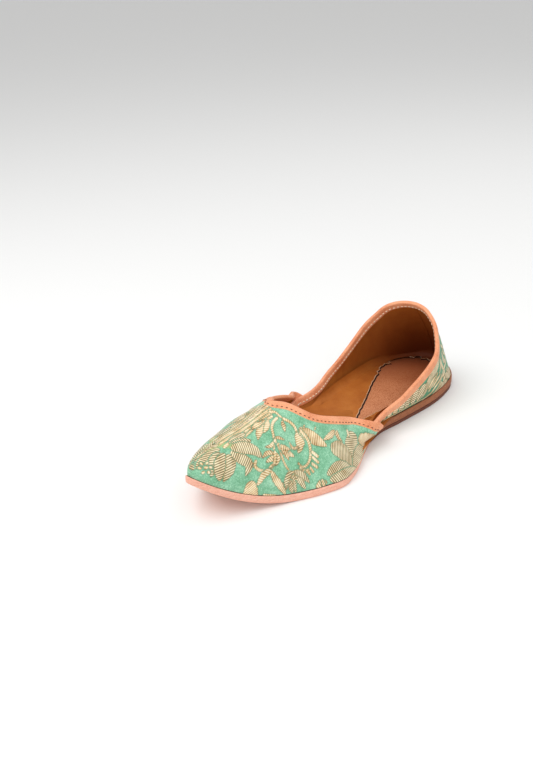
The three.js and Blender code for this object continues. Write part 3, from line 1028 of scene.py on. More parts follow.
@dataclass(frozen=True)
class CutLeather:
    """Sole leather, cut through its layers and rubbed with wax.

    The eye sees fine level fibres in an uneven matt tone that turns brown towards the heel. Fibres
    of 0.1 mm are too fine to show, so they are drawn four times as coarse.
    """

    name: str
    dark: str
    base: str
    light: str
    rear_dark: str
    rear_light: str
    fibre_mm: float = 0.45
    fibre_stretch: float = 9.0
    speckle_mm: float = 0.8
    brown_from_mm: float = -14.0
    brown_to_mm: float = 26.0
    wander_mm: float = 14.0
    relief_mm: float = 0.18
    roughness: float = 0.62

    def build(self) -> bpy.types.Material:
        """Builds the cut leather's material.

        Returns:
            The material.
        """
        material, tree = new_material(self.name)
        place = add_node(tree, "TexCoord").outputs["Object"]
        laid = add_node(tree, "Mapping", inputs={
            "Vector": place, "Scale": (1.0, 1.0, self.fibre_stretch)})
        fibres = add_node(tree, "TexNoise", inputs={
            "Vector": laid.outputs["Vector"], "Scale": 1 / (self.fibre_mm * self.fibre_stretch * MM),
            "Detail": 6.0, "Roughness": 0.7})
        speckle = add_node(tree, "TexNoise", inputs={
            "Vector": place, "Scale": 1 / (self.speckle_mm * MM), "Detail": 4.0, "Roughness": 0.7})
        shade = add_node(tree, "Mix", {"data_type": "FLOAT"}, {
            0: 0.45, 2: fibres.outputs["Fac"], 3: speckle.outputs["Fac"]})
        front_stops = ((0.3, self.dark), (0.5, self.base), (0.7, self.light))
        front = add_node(tree, "ValToRGB", {"stops": front_stops}, {"Fac": shade.outputs[0]})
        rear_stops = ((0.35, self.rear_dark), (0.65, self.rear_light))
        rear = add_node(tree, "ValToRGB", {"stops": rear_stops}, {"Fac": shade.outputs[0]})
        parts = add_node(tree, "SeparateXYZ", inputs={"Vector": place})
        wander = add_node(tree, "Math", {"operation": "MULTIPLY_ADD"}, {
            0: speckle.outputs["Fac"], 1: self.wander_mm * MM, 2: parts.outputs["Y"]})
        rearward = add_node(tree, "MapRange", {"interpolation_type": "SMOOTHSTEP"}, {
            "Value": wander.outputs[0], "From Min": self.brown_from_mm * MM,
            "From Max": self.brown_to_mm * MM})
        colour = add_node(tree, "Mix", {"data_type": "RGBA"}, {
            0: rearward.outputs["Result"], 6: front.outputs["Color"], 7: rear.outputs["Color"]})
        bump = add_node(tree, "Bump", inputs={
            "Height": shade.outputs[0], "Strength": 0.55, "Distance": self.relief_mm * MM})
        shader = add_node(tree, "BsdfPrincipled", inputs={
            "Base Color": colour.outputs[2], "Roughness": self.roughness,
            "Normal": bump.outputs["Normal"], "Specular IOR Level": 0.3})
        add_node(tree, "OutputMaterial", inputs={"Surface": shader.outputs["BSDF"]})
        return material


@dataclass(frozen=True)
class SatinBrocade:
    """Satin woven with gold zari thread, which is thin metal wound on a core.

    The eye sees a smooth ground that shimmers, and ribbed figures with a glint of metal. The figures
    come from the mesh and the weave from the flat cloth. Threads of 0.25 mm are too fine to show, so
    the weave and the ribs are drawn three to six times as coarse. The ground's slow light and dark
    clouds are painted sheen. The gold's pale patches are painted glints, and its ribs are painted
    darker in their valleys than on their tops, as shade and highlight.
    """

    name: str
    ground_dark: str
    ground: str
    ground_light: str
    heart: str = "#A2BE80"
    gold_dark: str = "#8A5C2E"
    gold: str = "#DCB97F"
    gold_light: str = "#FBEECD"
    sheen: float = 0.12
    metallic: float = 0.4
    rib_mm: float = 1.35
    weave_mm: float = 0.75
    cloud_mm: float = 11.0
    patch_mm: float = 6.0
    fray_mm: float = 0.9
    outline_mm: float = 0.15
    edge_mm: float = 0.16
    relief_mm: float = 0.24

    def threads(self, tree: bpy.types.NodeTree, flat: bpy.types.NodeSocket,
                stretch: tuple[float, float, float]) -> bpy.types.NodeSocket:
        """Gives the height of the threads that run one way through the satin.

        Args:
            tree: The material's node tree.
            flat: The place on the flat cloth.
            stretch: How much finer they are in each direction.

        Returns:
            The height, from 0 to 1.
        """
        laid = add_node(tree, "Mapping", inputs={"Vector": flat, "Scale": stretch})
        return add_node(tree, "TexNoise", inputs={
            "Vector": laid.outputs[0], "Scale": 0.55 / (self.weave_mm * MM), "Detail": 3.0,
            "Roughness": 0.75}).outputs["Fac"]

    def ribbed_mask(self, tree: bpy.types.NodeTree, flat: bpy.types.NodeSocket,
                    ribs: bpy.types.NodeSocket) -> bpy.types.NodeSocket:
        """Gives where the gold thread shows: 1 inside its figures, with open ribs in the petals.

        Args:
            tree: The material's node tree.
            flat: The place on the flat cloth.
            ribs: The ribs, 1 on their tops.

        Returns:
            The mask.
        """
        depth = add_node(tree, "Attribute", {"attribute_name": "depth"}).outputs["Fac"]
        opened = add_node(tree, "Attribute", {"attribute_name": "open"}).outputs["Fac"]
        fray = add_node(tree, "TexNoise", inputs={
            "Vector": flat, "Scale": 1 / (self.fray_mm * MM), "Detail": 2.0})
        frayed = add_node(tree, "Math", {"operation": "MULTIPLY_ADD"}, {
            0: fray.outputs["Fac"], 1: 0.3, 2: depth})
        figure = add_node(tree, "MapRange", {"interpolation_type": "SMOOTHSTEP"}, {
            "Value": frayed.outputs[0], "From Min": self.outline_mm - self.edge_mm,
            "From Max": self.outline_mm + self.edge_mm})
        valley = add_node(tree, "Math", {"operation": "SUBTRACT"}, {0: 1.0, 1: ribs})
        wide_open = add_node(tree, "Math", {"operation": "POWER"}, {0: opened, 1: 3.0})
        gap = add_node(tree, "Math", {"operation": "MULTIPLY"}, {
            0: valley.outputs[0], 1: wide_open.outputs[0]})
        kept = add_node(tree, "Math", {"operation": "MULTIPLY_ADD"}, {0: gap.outputs[0], 1: -0.3, 2: 1.0})
        return add_node(tree, "Math", {"operation": "MULTIPLY"}, {
            0: figure.outputs["Result"], 1: kept.outputs[0]}).outputs[0]

    def ground_colour(self, tree: bpy.types.NodeTree, flat: bpy.types.NodeSocket,
                      weave: bpy.types.NodeSocket) -> bpy.types.NodeSocket:
        """Gives the satin's colour, with painted sheen in slow clouds and painted shade beside the raised
        figures, and paler in a flower's heart.

        Args:
            tree: The material's node tree.
            flat: The place on the flat cloth.
            weave: The weave, from 0 to 1.

        Returns:
            The colour.
        """
        depth = add_node(tree, "Attribute", {"attribute_name": "depth"}).outputs["Fac"]
        heart = add_node(tree, "Attribute", {"attribute_name": "heart"}).outputs["Fac"]
        # The slow cloud is painted sheen: lighter and darker stretches of the satin.
        cloud = add_node(tree, "TexNoise", inputs={
            "Vector": flat, "Scale": 1 / (self.cloud_mm * MM), "Detail": 6.0, "Roughness": 0.68})
        value = add_node(tree, "Mix", {"data_type": "FLOAT"}, {0: 0.62, 2: cloud.outputs["Fac"], 3: weave})
        stops = ((0.4, self.ground_dark), (0.5, self.ground), (0.6, self.ground_light))
        satin = add_node(tree, "ValToRGB", {"stops": stops}, {"Fac": value.outputs[0]})
        # Painted shade on the satin beside the raised figures.
        rim = add_node(tree, "MapRange", {"interpolation_type": "SMOOTHSTEP"}, {
            "Value": depth, "From Min": -0.8, "From Max": -0.05, "To Min": 1.0, "To Max": 0.74})
        shaded = add_node(tree, "Mix", {"data_type": "RGBA", "blend_type": "MULTIPLY"}, {
            0: 1.0, 6: satin.outputs["Color"], 7: rim.outputs["Result"]})
        in_heart = add_node(tree, "MapRange", {"interpolation_type": "SMOOTHSTEP"}, {
            "Value": heart, "From Min": -0.9, "From Max": 0.9, "To Max": 0.85})
        return add_node(tree, "Mix", {"data_type": "RGBA"}, {
            0: in_heart.outputs["Result"], 6: shaded.outputs[2], 7: linear(self.heart)}).outputs[2]

    def build(self) -> bpy.types.Material:
        """Builds the brocade's material.

        Returns:
            The material.
        """
        material, tree = new_material(self.name)
        rib = add_node(tree, "Attribute", {"attribute_name": "rib"}).outputs["Fac"]
        flat = add_node(tree, "UVMap", {"uv_map": "flat"}).outputs["UV"]
        turns = add_node(tree, "Math", {"operation": "MULTIPLY"}, {0: rib, 1: 2 * math.pi / self.rib_mm})
        wave = add_node(tree, "Math", {"operation": "SINE"}, {0: turns.outputs[0]})
        ribs = add_node(tree, "MapRange", {"interpolation_type": "SMOOTHSTEP"}, {
            "Value": wave.outputs[0], "From Min": -0.6, "From Max": 0.7}).outputs["Result"]
        mask = self.ribbed_mask(tree, flat, ribs)
        # Slow patches of paler gold are painted glints of the metal thread.
        patches = add_node(tree, "TexNoise", inputs={
            "Vector": flat, "Scale": 1 / (self.patch_mm * MM), "Detail": 4.0})
        tone = add_node(tree, "Math", {"operation": "MULTIPLY_ADD"}, {
            0: patches.outputs["Fac"], 1: 1.3, 2: 0.26})
        depth = add_node(tree, "Attribute", {"attribute_name": "depth"}).outputs["Fac"]
        edge = add_node(tree, "MapRange", {"interpolation_type": "SMOOTHSTEP"}, {
            "Value": depth, "From Min": 0.0, "From Max": 0.5, "To Min": -0.3, "To Max": 0.0})
        opened = add_node(tree, "Attribute", {"attribute_name": "open"}).outputs["Fac"]
        swing = add_node(tree, "MapRange", inputs={"Value": opened, "To Min": 0.3, "To Max": 0.76})
        # The gold is darker in the valleys between ribs than on their tops: painted shade and highlight over
        # the ribs' bump.
        valley_shade = add_node(tree, "Math", {"operation": "SUBTRACT"}, {0: ribs, 1: 1.0})
        rib_shade_and_highlight = add_node(tree, "Math", {"operation": "MULTIPLY"}, {
            0: valley_shade.outputs[0], 1: swing.outputs["Result"]})
        body = add_node(tree, "Math", {"operation": "ADD"}, {
            0: rib_shade_and_highlight.outputs[0], 1: edge.outputs["Result"]})
        gold_value = add_node(tree, "Math", {"operation": "ADD"}, {0: body.outputs[0], 1: tone.outputs[0]})
        stops = ((0.08, self.gold_dark), (0.5, self.gold), (0.95, self.gold_light))
        gold_colour = add_node(tree, "ValToRGB", {"stops": stops}, {"Fac": gold_value.outputs[0]})
        warp, weft = (self.threads(tree, flat, stretch) for stretch in ((2.2, 1.0, 1.0), (1.0, 2.6, 1.0)))
        weave = add_node(tree, "Mix", {"data_type": "FLOAT"}, {0: 0.45, 2: warp, 3: weft}).outputs[0]
        ground_colour = self.ground_colour(tree, flat, weave)
        colour = add_node(tree, "Mix", {"data_type": "RGBA"}, {
            0: mask, 6: ground_colour, 7: gold_colour.outputs["Color"]})
        metal = add_node(tree, "Math", {"operation": "MULTIPLY"}, {0: mask, 1: self.metallic})
        rough = add_node(tree, "MapRange", inputs={"Value": mask, "To Min": 0.46, "To Max": 0.42})
        figure = add_node(tree, "Math", {"operation": "MULTIPLY_ADD"}, {0: ribs, 1: 0.7, 2: 0.4})
        height = add_node(tree, "Mix", {"data_type": "FLOAT"}, {0: mask, 2: weave, 3: figure.outputs[0]})
        bump = add_node(tree, "Bump", inputs={
            "Height": height.outputs[0], "Strength": 0.8, "Distance": self.relief_mm * MM})
        shader = add_node(tree, "BsdfPrincipled", inputs={
            "Base Color": colour.outputs[2], "Metallic": metal.outputs[0],
            "Roughness": rough.outputs["Result"], "Normal": bump.outputs["Normal"],
            "Sheen Weight": self.sheen, "Sheen Roughness": 0.4})
        add_node(tree, "OutputMaterial", inputs={"Surface": shader.outputs["BSDF"]})
        return material


@dataclass(frozen=True)
class WaxedThread:
    """Cotton thread, twisted and drawn through wax: the eye sees a dull twist."""

    name: str
    colour: str
    shadow: str
    twist_mm: float = 0.5

    def build(self) -> bpy.types.Material:
        """Builds the thread's material.

        Returns:
            The material.
        """
        material, tree = new_material(self.name)
        place = add_node(tree, "TexCoord").outputs["Object"]
        twist = add_node(tree, "TexWave", {"bands_direction": "DIAGONAL"}, {
            "Vector": place, "Scale": 0.314 / (self.twist_mm * MM), "Distortion": 0.5})
        stops = ((0.1, self.shadow), (0.7, self.colour))
        colour = add_node(tree, "ValToRGB", {"stops": stops}, {"Fac": twist.outputs["Fac"]}).outputs["Color"]
        bump = add_node(tree, "Bump", inputs={
            "Height": twist.outputs["Fac"], "Strength": 0.5, "Distance": 0.1 * MM})
        shader = add_node(tree, "BsdfPrincipled", inputs={
            "Base Color": colour, "Roughness": 0.7, "Normal": bump.outputs["Normal"]})
        add_node(tree, "OutputMaterial", inputs={"Surface": shader.outputs["BSDF"]})
        return material


@dataclass(frozen=True)
class StudioPaper:
    """Uncoated white studio paper: the eye sees an even matt white with a faint tooth."""

    name: str = "studio_paper"
    colour: str = "#F4F4F3"
    tooth_per_m: float = 900.0

    def build(self) -> bpy.types.Material:
        """Builds the paper's material.

        Returns:
            The material.
        """
        material, tree = new_material(self.name)
        place = add_node(tree, "TexCoord").outputs["Object"]
        tooth = add_node(tree, "TexNoise", inputs={
            "Vector": place, "Scale": self.tooth_per_m, "Detail": 2.0})
        bump = add_node(tree, "Bump", inputs={
            "Height": tooth.outputs["Fac"], "Strength": 0.05, "Distance": 0.1 * MM})
        shader = add_node(tree, "BsdfPrincipled", inputs={
            "Base Color": linear(self.colour), "Roughness": 0.9, "Normal": bump.outputs["Normal"]})
        add_node(tree, "OutputMaterial", inputs={"Surface": shader.outputs["BSDF"]})
        return material


# Paths along the edges

@dataclass
class Path3D:
    """Points along an edge, with the direction onwards, across past the edge, and out of the wall."""

    points: np.ndarray
    along: np.ndarray
    across: np.ndarray
    out: np.ndarray

    @classmethod
    def along_edge(cls, points: np.ndarray, out: np.ndarray, side: int, smoothing: int) -> Path3D:
        """Carries a near edge over to the far side, and squares its frames.

        Args:
            points: Points of the edge on the near side, the last on the middle plane.
            out: The wall's outward normals there.
            side: 1 for an edge that starts towards the heel, -1 for one that starts towards the toe.
            smoothing: How often the normals are averaged with their neighbours.

        Returns:
            The path, from the near end to the far end.
        """
        mirror = np.array([-1.0, 1.0, 1.0])
        points = np.vstack([points, points[-2::-1] * mirror])
        out = np.vstack([out, out[-2::-1] * mirror])
        for _ in range(smoothing):
            out[1:-1] = (out[:-2] + 2 * out[1:-1] + out[2:]) / 4
        along = np.gradient(points, axis=0)
        along /= np.linalg.norm(along, axis=1, keepdims=True)
        out = out - (out * along).sum(axis=1, keepdims=True) * along
        out /= np.linalg.norm(out, axis=1, keepdims=True)
        return cls(points, along, np.cross(out, along) * side, out)

    def resampled(self, pitch: float) -> Path3D:
        """Gives the path with points at an even pitch.

        Args:
            pitch: The distance between points.

        Returns:
            The path.
        """
        lengths = np.concatenate([[0], np.cumsum(np.linalg.norm(np.diff(self.points, axis=0), axis=1))])
        places = np.linspace(0, lengths[-1], max(int(round(lengths[-1] / pitch)), 2) + 1)
        columns = []
        for values in (self.points, self.along, self.across, self.out):
            columns.append(np.stack([np.interp(places, lengths, values[:, k]) for k in range(3)], -1))
        for values in columns[1:]:
            values /= np.linalg.norm(values, axis=1, keepdims=True)
        return Path3D(*columns)


@dataclass(frozen=True)
class Binding:
    """Leather strip folded over the edge of a wall."""

    width: float = 4.2
    thickness: float = 2.8
    gap: float = 0.65
    squareness: float = 0.5
    sides: int = 36
    pitch: float = 0.8
    overlap: float = 1.6
    crease_at: float = 2.35
    crease_width: float = 0.3
    crease_depth: float = 0.34

    def squared(self, wave: np.ndarray) -> np.ndarray:
        """Gives a sine or cosine with its round turned squarer."""
        return np.sign(wave) * np.abs(wave) ** self.squareness

    def strip(self, path: Path3D) -> MeshData:
        """Gives the strip along a path.

        Args:
            path: The edge that it covers.

        Returns:
            Its mesh.
        """
        even = path.resampled(self.pitch)
        angle = 2 * math.pi * (np.arange(self.sides) + 0.5) / self.sides
        low, high = self.gap - self.overlap, self.gap + self.width
        reach = (low + high) / 2 + (high - low) / 2 * self.squared(np.cos(angle))
        crease = self.crease_depth * np.exp(-((reach - self.crease_at) / self.crease_width) ** 2)
        depth = (self.thickness / 2 - crease) * self.squared(np.sin(angle))
        rings = (even.points[:, None] + even.across[:, None] * reach[None, :, None]
                 + even.out[:, None] * depth[None, :, None])
        return tube(rings)


@dataclass(frozen=True)
class StitchRow:
    """Row of stitches in waxed thread, each a short capsule that dips into the leather at its ends."""

    pitch: float = 3.0
    stitch: float = 2.1
    radius: float = 0.33
    sides: int = 8
    rings: int = 7
    bluntness: float = 3.0
    tip_share: float = 0.03
    dip_share: float = 0.55

    def stitches(self, path: Path3D, reach: float, depth: float) -> MeshData:
        """Gives the row along a path.

        Args:
            path: The edge that it follows.
            reach: How far past the wall's edge it lies.
            depth: How far out of the wall's middle it lies, below 0 for the inside.

        Returns:
            Its mesh.
        """
        even = path.resampled(self.pitch)
        share = np.linspace(-1, 1, self.rings)
        angle = 2 * math.pi * np.arange(self.sides) / self.sides
        shape = self.radius * np.sqrt(np.maximum(1 - np.abs(share) ** self.bluntness, self.tip_share))
        dip = -self.dip_share * self.radius * share**2 * np.sign(depth)
        row = None
        for k in range(1, len(even.points) - 1):
            middle = even.points[k] + even.across[k] * reach + even.out[k] * depth
            centres = middle + np.outer(share * self.stitch / 2, even.along[k]) + np.outer(dip, even.out[k])
            ring = (np.outer(np.cos(angle), even.across[k]) + np.outer(np.sin(angle), even.out[k]))
            one = tube(centres[:, None] + shape[:, None, None] * ring[None])
            row = one if row is None else row.joined(one)
        return row


# Pieces of the shoe

@dataclass(frozen=True)
class Sole:
    """Outsole of stacked leather with rounded edges, its heel lift, and the seam under the cloth."""

    last: Last
    steps: int = 260
    outsole_finish: CutLeather = CutLeather(
        "sole_edge_leather", "#D0907A", "#F0B199", "#FBD3C0", "#7E472C", "#B8744E")
    lift_finish: CutLeather = CutLeather(
        "heel_lift_leather", "#4A2118", "#6B3627", "#87503A", "#4A2118", "#87503A")
    edge_round: float = 0.9
    lift_round: float = 0.3
    lift_inset: float = 0.4
    round_steps: int = 5
    lift_search_from: float = 0.4
    lift_search_steps: int = 2000
    seam_steps: int = 300
    seam_inset: float = 0.15
    seam_rise: float = 0.1
    seam_half_width: float = 0.42
    seam_half_height: float = 0.36
    seam_sides: int = 8

    def plate(self, stations: np.ndarray, levels: Sequence[tuple[float, Height]]) -> MeshData:
        """Gives a plate through level outlines, closed across from side to side.

        Args:
            stations: Stations of the outlines' points.
            levels: For each outline, its inset and its height as a function of y.

        Returns:
            The plate's mesh.
        """
        rings = []
        for inset, height in levels:
            x, y = self.last.outline(stations, inset)
            z = height(y)
            near = np.stack([x, y, z], -1)
            far = np.stack([-x, y, z], -1)
            rings.append(np.vstack([near, far[::-1]]))
        data = tube(np.array(rings))
        count = 2 * len(stations)
        data.faces = data.faces[:-2]
        for first, turned in ((0, True), ((len(levels) - 1) * count, False)):
            for i in range(len(stations) - 1):
                quad = (first + i, first + i + 1, first + count - 2 - i, first + count - 1 - i)
                data.faces.append(quad[::-1] if turned else quad)
        return data

    def rounded(self, low: Height, high: Height, radius: float) -> list[tuple[float, Height]]:
        """Gives the levels of a plate with round edges.

        Args:
            low: The height of its underside.
            high: The height of its top.
            radius: The radius of its edges.

        Returns:
            For each level, its inset and its height as a function of y.
        """
        levels = []
        for side, face in ((1, low), (-1, high)):
            for turn in np.linspace(-math.pi / 2, 0, self.round_steps + 1)[::side]:
                inset = radius * (1 - math.cos(turn))
                rise = side * radius * (1 + math.sin(turn))
                levels.append((inset, lambda y, face=face, rise=rise: face(y) + rise))
        return levels

    def build(self) -> None:
        """Makes the outsole, the heel lift and the seam."""
        last = self.last
        stations = last.stations_between(0, 1, self.steps)
        outsole = self.plate(stations, self.rounded(last.underside, last.sole_top, self.edge_round))
        make_piece("outsole_leather", outsole, self.outsole_finish.build(), ["outsole"])
        lift_stations = stations[stations > self.lift_tip_station()]
        levels = self.rounded(np.zeros_like, last.lift_at, self.lift_round)
        lift = self.plate(lift_stations, [(inset + self.lift_inset, height) for inset, height in levels])
        make_piece("heel_lift_leather", lift, self.lift_finish.build(), ["heel_lift"])
        self.build_seam()

    def lift_tip_station(self) -> float:
        """Gives the first station at which the lift has the thickness of its cut edge."""
        stations = np.linspace(self.lift_search_from, 1, self.lift_search_steps)
        thick = self.last.lift_at((stations - 0.5) * self.last.length) >= self.last.lift_tip
        return float(stations[np.argmax(thick)])

    def build_seam(self) -> None:
        """Makes the dark thread that shows between the cloth and the sole."""
        last = self.last
        stations = last.stations_between(0, 1, self.seam_steps)
        welt = np.where(stations < last.corner_station, last.rib_curves["welt"](stations), 1.0)
        x, y = last.outline(stations, np.maximum(last.welt * welt, 0) + self.seam_inset)
        near = np.stack([x, y, last.sole_top(y) + self.seam_rise], -1)
        points = np.vstack([near, near[-2:0:-1] * (-1, 1, 1)])
        along = np.roll(points, -1, axis=0) - np.roll(points, 1, axis=0)
        up = np.array([0.0, 0.0, 1.0])
        across = np.cross(along, up)
        across /= np.linalg.norm(across, axis=1, keepdims=True) + TINY
        angle = 2 * math.pi * np.arange(self.seam_sides) / self.seam_sides
        rings = (points[:, None] + self.seam_half_width * np.cos(angle)[None, :, None] * across[:, None]
                 + self.seam_half_height * np.sin(angle)[None, :, None] * up)
        thread = WaxedThread("seam_thread", "#4A2A1A", "#1E0F08")
        make_piece("sole_seam", tube(rings, closed=True), thread.build())


@dataclass(frozen=True)
class UpperPart:
    """Part of the upper: brocade over a leather lining, with a bound and stitched edge."""

    last: Last
    pattern: Brocade
    brocade: SatinBrocade
    lining: Leather
    binding_leather: Leather
    binding: Binding = Binding()
    relief: float = 0.16
    relief_range: tuple[float, float] = (-0.25, 0.3)
    lining_gap: float = 0.05
    lining_columns: int = 30

    def grid(self, stations: np.ndarray, columns: int, offset: float) -> tuple[Grid, np.ndarray, np.ndarray]:
        """Gives points in the part's wall, which each part reads from its own ribs.

        Args:
            stations: The ribs' stations.
            columns: Steps up each rib.
            offset: Depth of the points in the wall, from its inner face.

        Returns:
            The points, and the station of each one and its place up the rib.
        """
        raise NotImplementedError

    def raised_cloth(self, inner: Grid, outer: Grid, flat: np.ndarray, middle: np.ndarray) -> MeshData:
        """Gives the brocade of both sides, with its figures slightly raised.

        Args:
            inner: Points in the middle of the wall.
            outer: Points of its outer face.
            flat: Their places on the flat cloth.
            middle: Which of them lie on the middle plane.

        Returns:
            The cloth's mesh.
        """
        layers = self.pattern.read(flat)
        outward = outer - inner
        outward /= np.linalg.norm(outward, axis=-1, keepdims=True) + TINY
        lift = self.relief * smooth_step(layers["depth"], *self.relief_range)
        raised = outer + outward * lift.reshape(middle.shape)[..., None]
        raised[middle, 0] = 0
        corners, faces = thick_sheet(inner, raised, closed=False)
        ring = border_of(*middle.shape)
        values = {name: np.concatenate([layer, layer[ring]]) for name, layer in layers.items()}
        near = MeshData(corners, faces, np.vstack([flat, flat[ring]]), values)
        return near.joined(near.mirrored())

    def lining_sheet(self, stations: np.ndarray) -> MeshData:
        """Gives the leather lining of both sides.

        Args:
            stations: The ribs' stations.

        Returns:
            The lining's mesh.
        """
        inner, _, _ = self.grid(stations, self.lining_columns, self.lining_gap)
        outer, _, _ = self.grid(stations, self.lining_columns, self.last.wall / 2 - self.lining_gap)
        near = MeshData(*thick_sheet(inner, outer, closed=True))
        return near.joined(near.mirrored())


@dataclass(frozen=True)
class Vamp(UpperPart):
    """Front of the upper, bound along the throat."""

    rows_to_throat: int = 110
    rows_of_throat: int = 130
    columns: int = 96
    lining_rows: tuple[int, int] = (40, 50)
    throat_power: float = 1.7
    girth_steps: int = 180
    path_steps: int = 159
    smoothing: int = 60
    stitch_reach: float = 0.55
    stitch_sink: float = 0.02

    def stations(self, to_throat: int, of_throat: int) -> np.ndarray:
        """Gives the ribs' stations, closer together near the toe's tip and the throat's crest.

        Args:
            to_throat: Steps from the toe to the throat.
            of_throat: Steps along the throat.

        Returns:
            The stations.
        """
        front = self.last.stations_between(0, self.last.throat_station, to_throat)[:-1]
        return np.concatenate([front, self.throat_stations(np.linspace(0, 1, of_throat + 1))])

    def throat_stations(self, share: np.ndarray) -> np.ndarray:
        """Gives the stations at shares of the throat, drawn together at its crest."""
        span = self.last.corner_station - self.last.throat_station
        return self.last.throat_station + span * share**self.throat_power

    def grid(self, stations: np.ndarray, columns: int, offset: float) -> tuple[Grid, np.ndarray, np.ndarray]:
        """Gives points in the vamp's wall, from the foot to the ridge or the throat's edge.

        Args:
            stations: The ribs' stations.
            columns: Steps up each rib.
            offset: Depth of the points in the wall, from its inner face.

        Returns:
            The points, and the station and the angle of each one.
        """
        last = self.last
        station = np.repeat(stations[:, None], columns + 1, axis=1)
        angle = last.vamp_end_angle(station) * np.linspace(0, 1, columns + 1)[None, :]
        points, _ = last.vamp_wall(station, angle, offset)
        points[0, :, 0] = 0
        middle = stations <= last.throat_station + SAME_STATION
        points[middle, -1, 0] = 0
        points[middle, -1, 2] = (4 * points[middle, -2, 2] - points[middle, -3, 2]) / 3
        return points, station, angle

    def flat_cloth(self, points: Grid, station: np.ndarray, angle: np.ndarray) -> np.ndarray:
        """Gives each point's place on the flat cloth: along the shoe, and round from the ridge.

        Args:
            points: Points of the cloth.
            station: Their stations.
            angle: Their angles up the ribs.

        Returns:
            The two distances in millimetres, on the last axis.
        """
        last = self.last
        fine = np.linspace(math.pi / 2, 0, self.girth_steps + 1)
        girth = np.empty(angle.shape)
        for i, one in enumerate(station[:, 0]):
            rib = last.vamp_point(np.full(fine.shape, one), fine)
            steps = np.linalg.norm(np.diff(rib, axis=0), axis=1)
            lengths = np.concatenate([[0], np.cumsum(steps)])
            girth[i] = np.interp(-angle[i], -fine, lengths)
        return np.stack([points[..., 1] + last.length / 2, girth], -1)

    def cloth(self) -> MeshData:
        """Gives the vamp's brocade.

        Returns:
            The cloth's mesh.
        """
        stations = self.stations(self.rows_to_throat, self.rows_of_throat)
        outer, station, angle = self.grid(stations, self.columns, self.last.wall)
        inner, _, _ = self.grid(stations, self.columns, self.last.wall / 2)
        middle = np.zeros(station.shape, bool)
        middle[0] = True
        middle[stations <= self.last.throat_station + SAME_STATION, -1] = True
        return self.raised_cloth(inner, outer, self.flat_cloth(outer, station, angle).reshape(-1, 2), middle)

    def throat_path(self) -> Path3D:
        """Gives the path along the throat's edge.

        Returns:
            The path, from the near wing to the far one.
        """
        last = self.last
        station = self.throat_stations(np.linspace(1, 0, self.path_steps + 1))
        points, out = last.vamp_wall(station, last.vamp_end_angle(station), last.wall / 2)
        points[-1, 0] = 0
        out[-1, 0] = 0
        return Path3D.along_edge(points, out, side=-1, smoothing=self.smoothing)

    def build(self) -> None:
        """Makes the vamp's cloth, lining, binding and stitches."""
        make_piece("vamp_brocade", self.cloth(), self.brocade.build(), ["upper"])
        make_piece("vamp_lining", self.lining_sheet(self.stations(*self.lining_rows)), self.lining.build())
        path = self.throat_path()
        make_piece("throat_binding_leather", self.binding.strip(path), self.binding_leather.build(),
                   ["throat_binding"])
        row = StitchRow(pitch=2.9, stitch=1.7, radius=0.3)
        thread = WaxedThread("brown_thread", "#8A4A2A", "#3E1C0E")
        stitches = row.stitches(path, self.stitch_reach, self.binding.thickness / 2 - self.stitch_sink)
        make_piece("throat_stitches", stitches, thread.build())


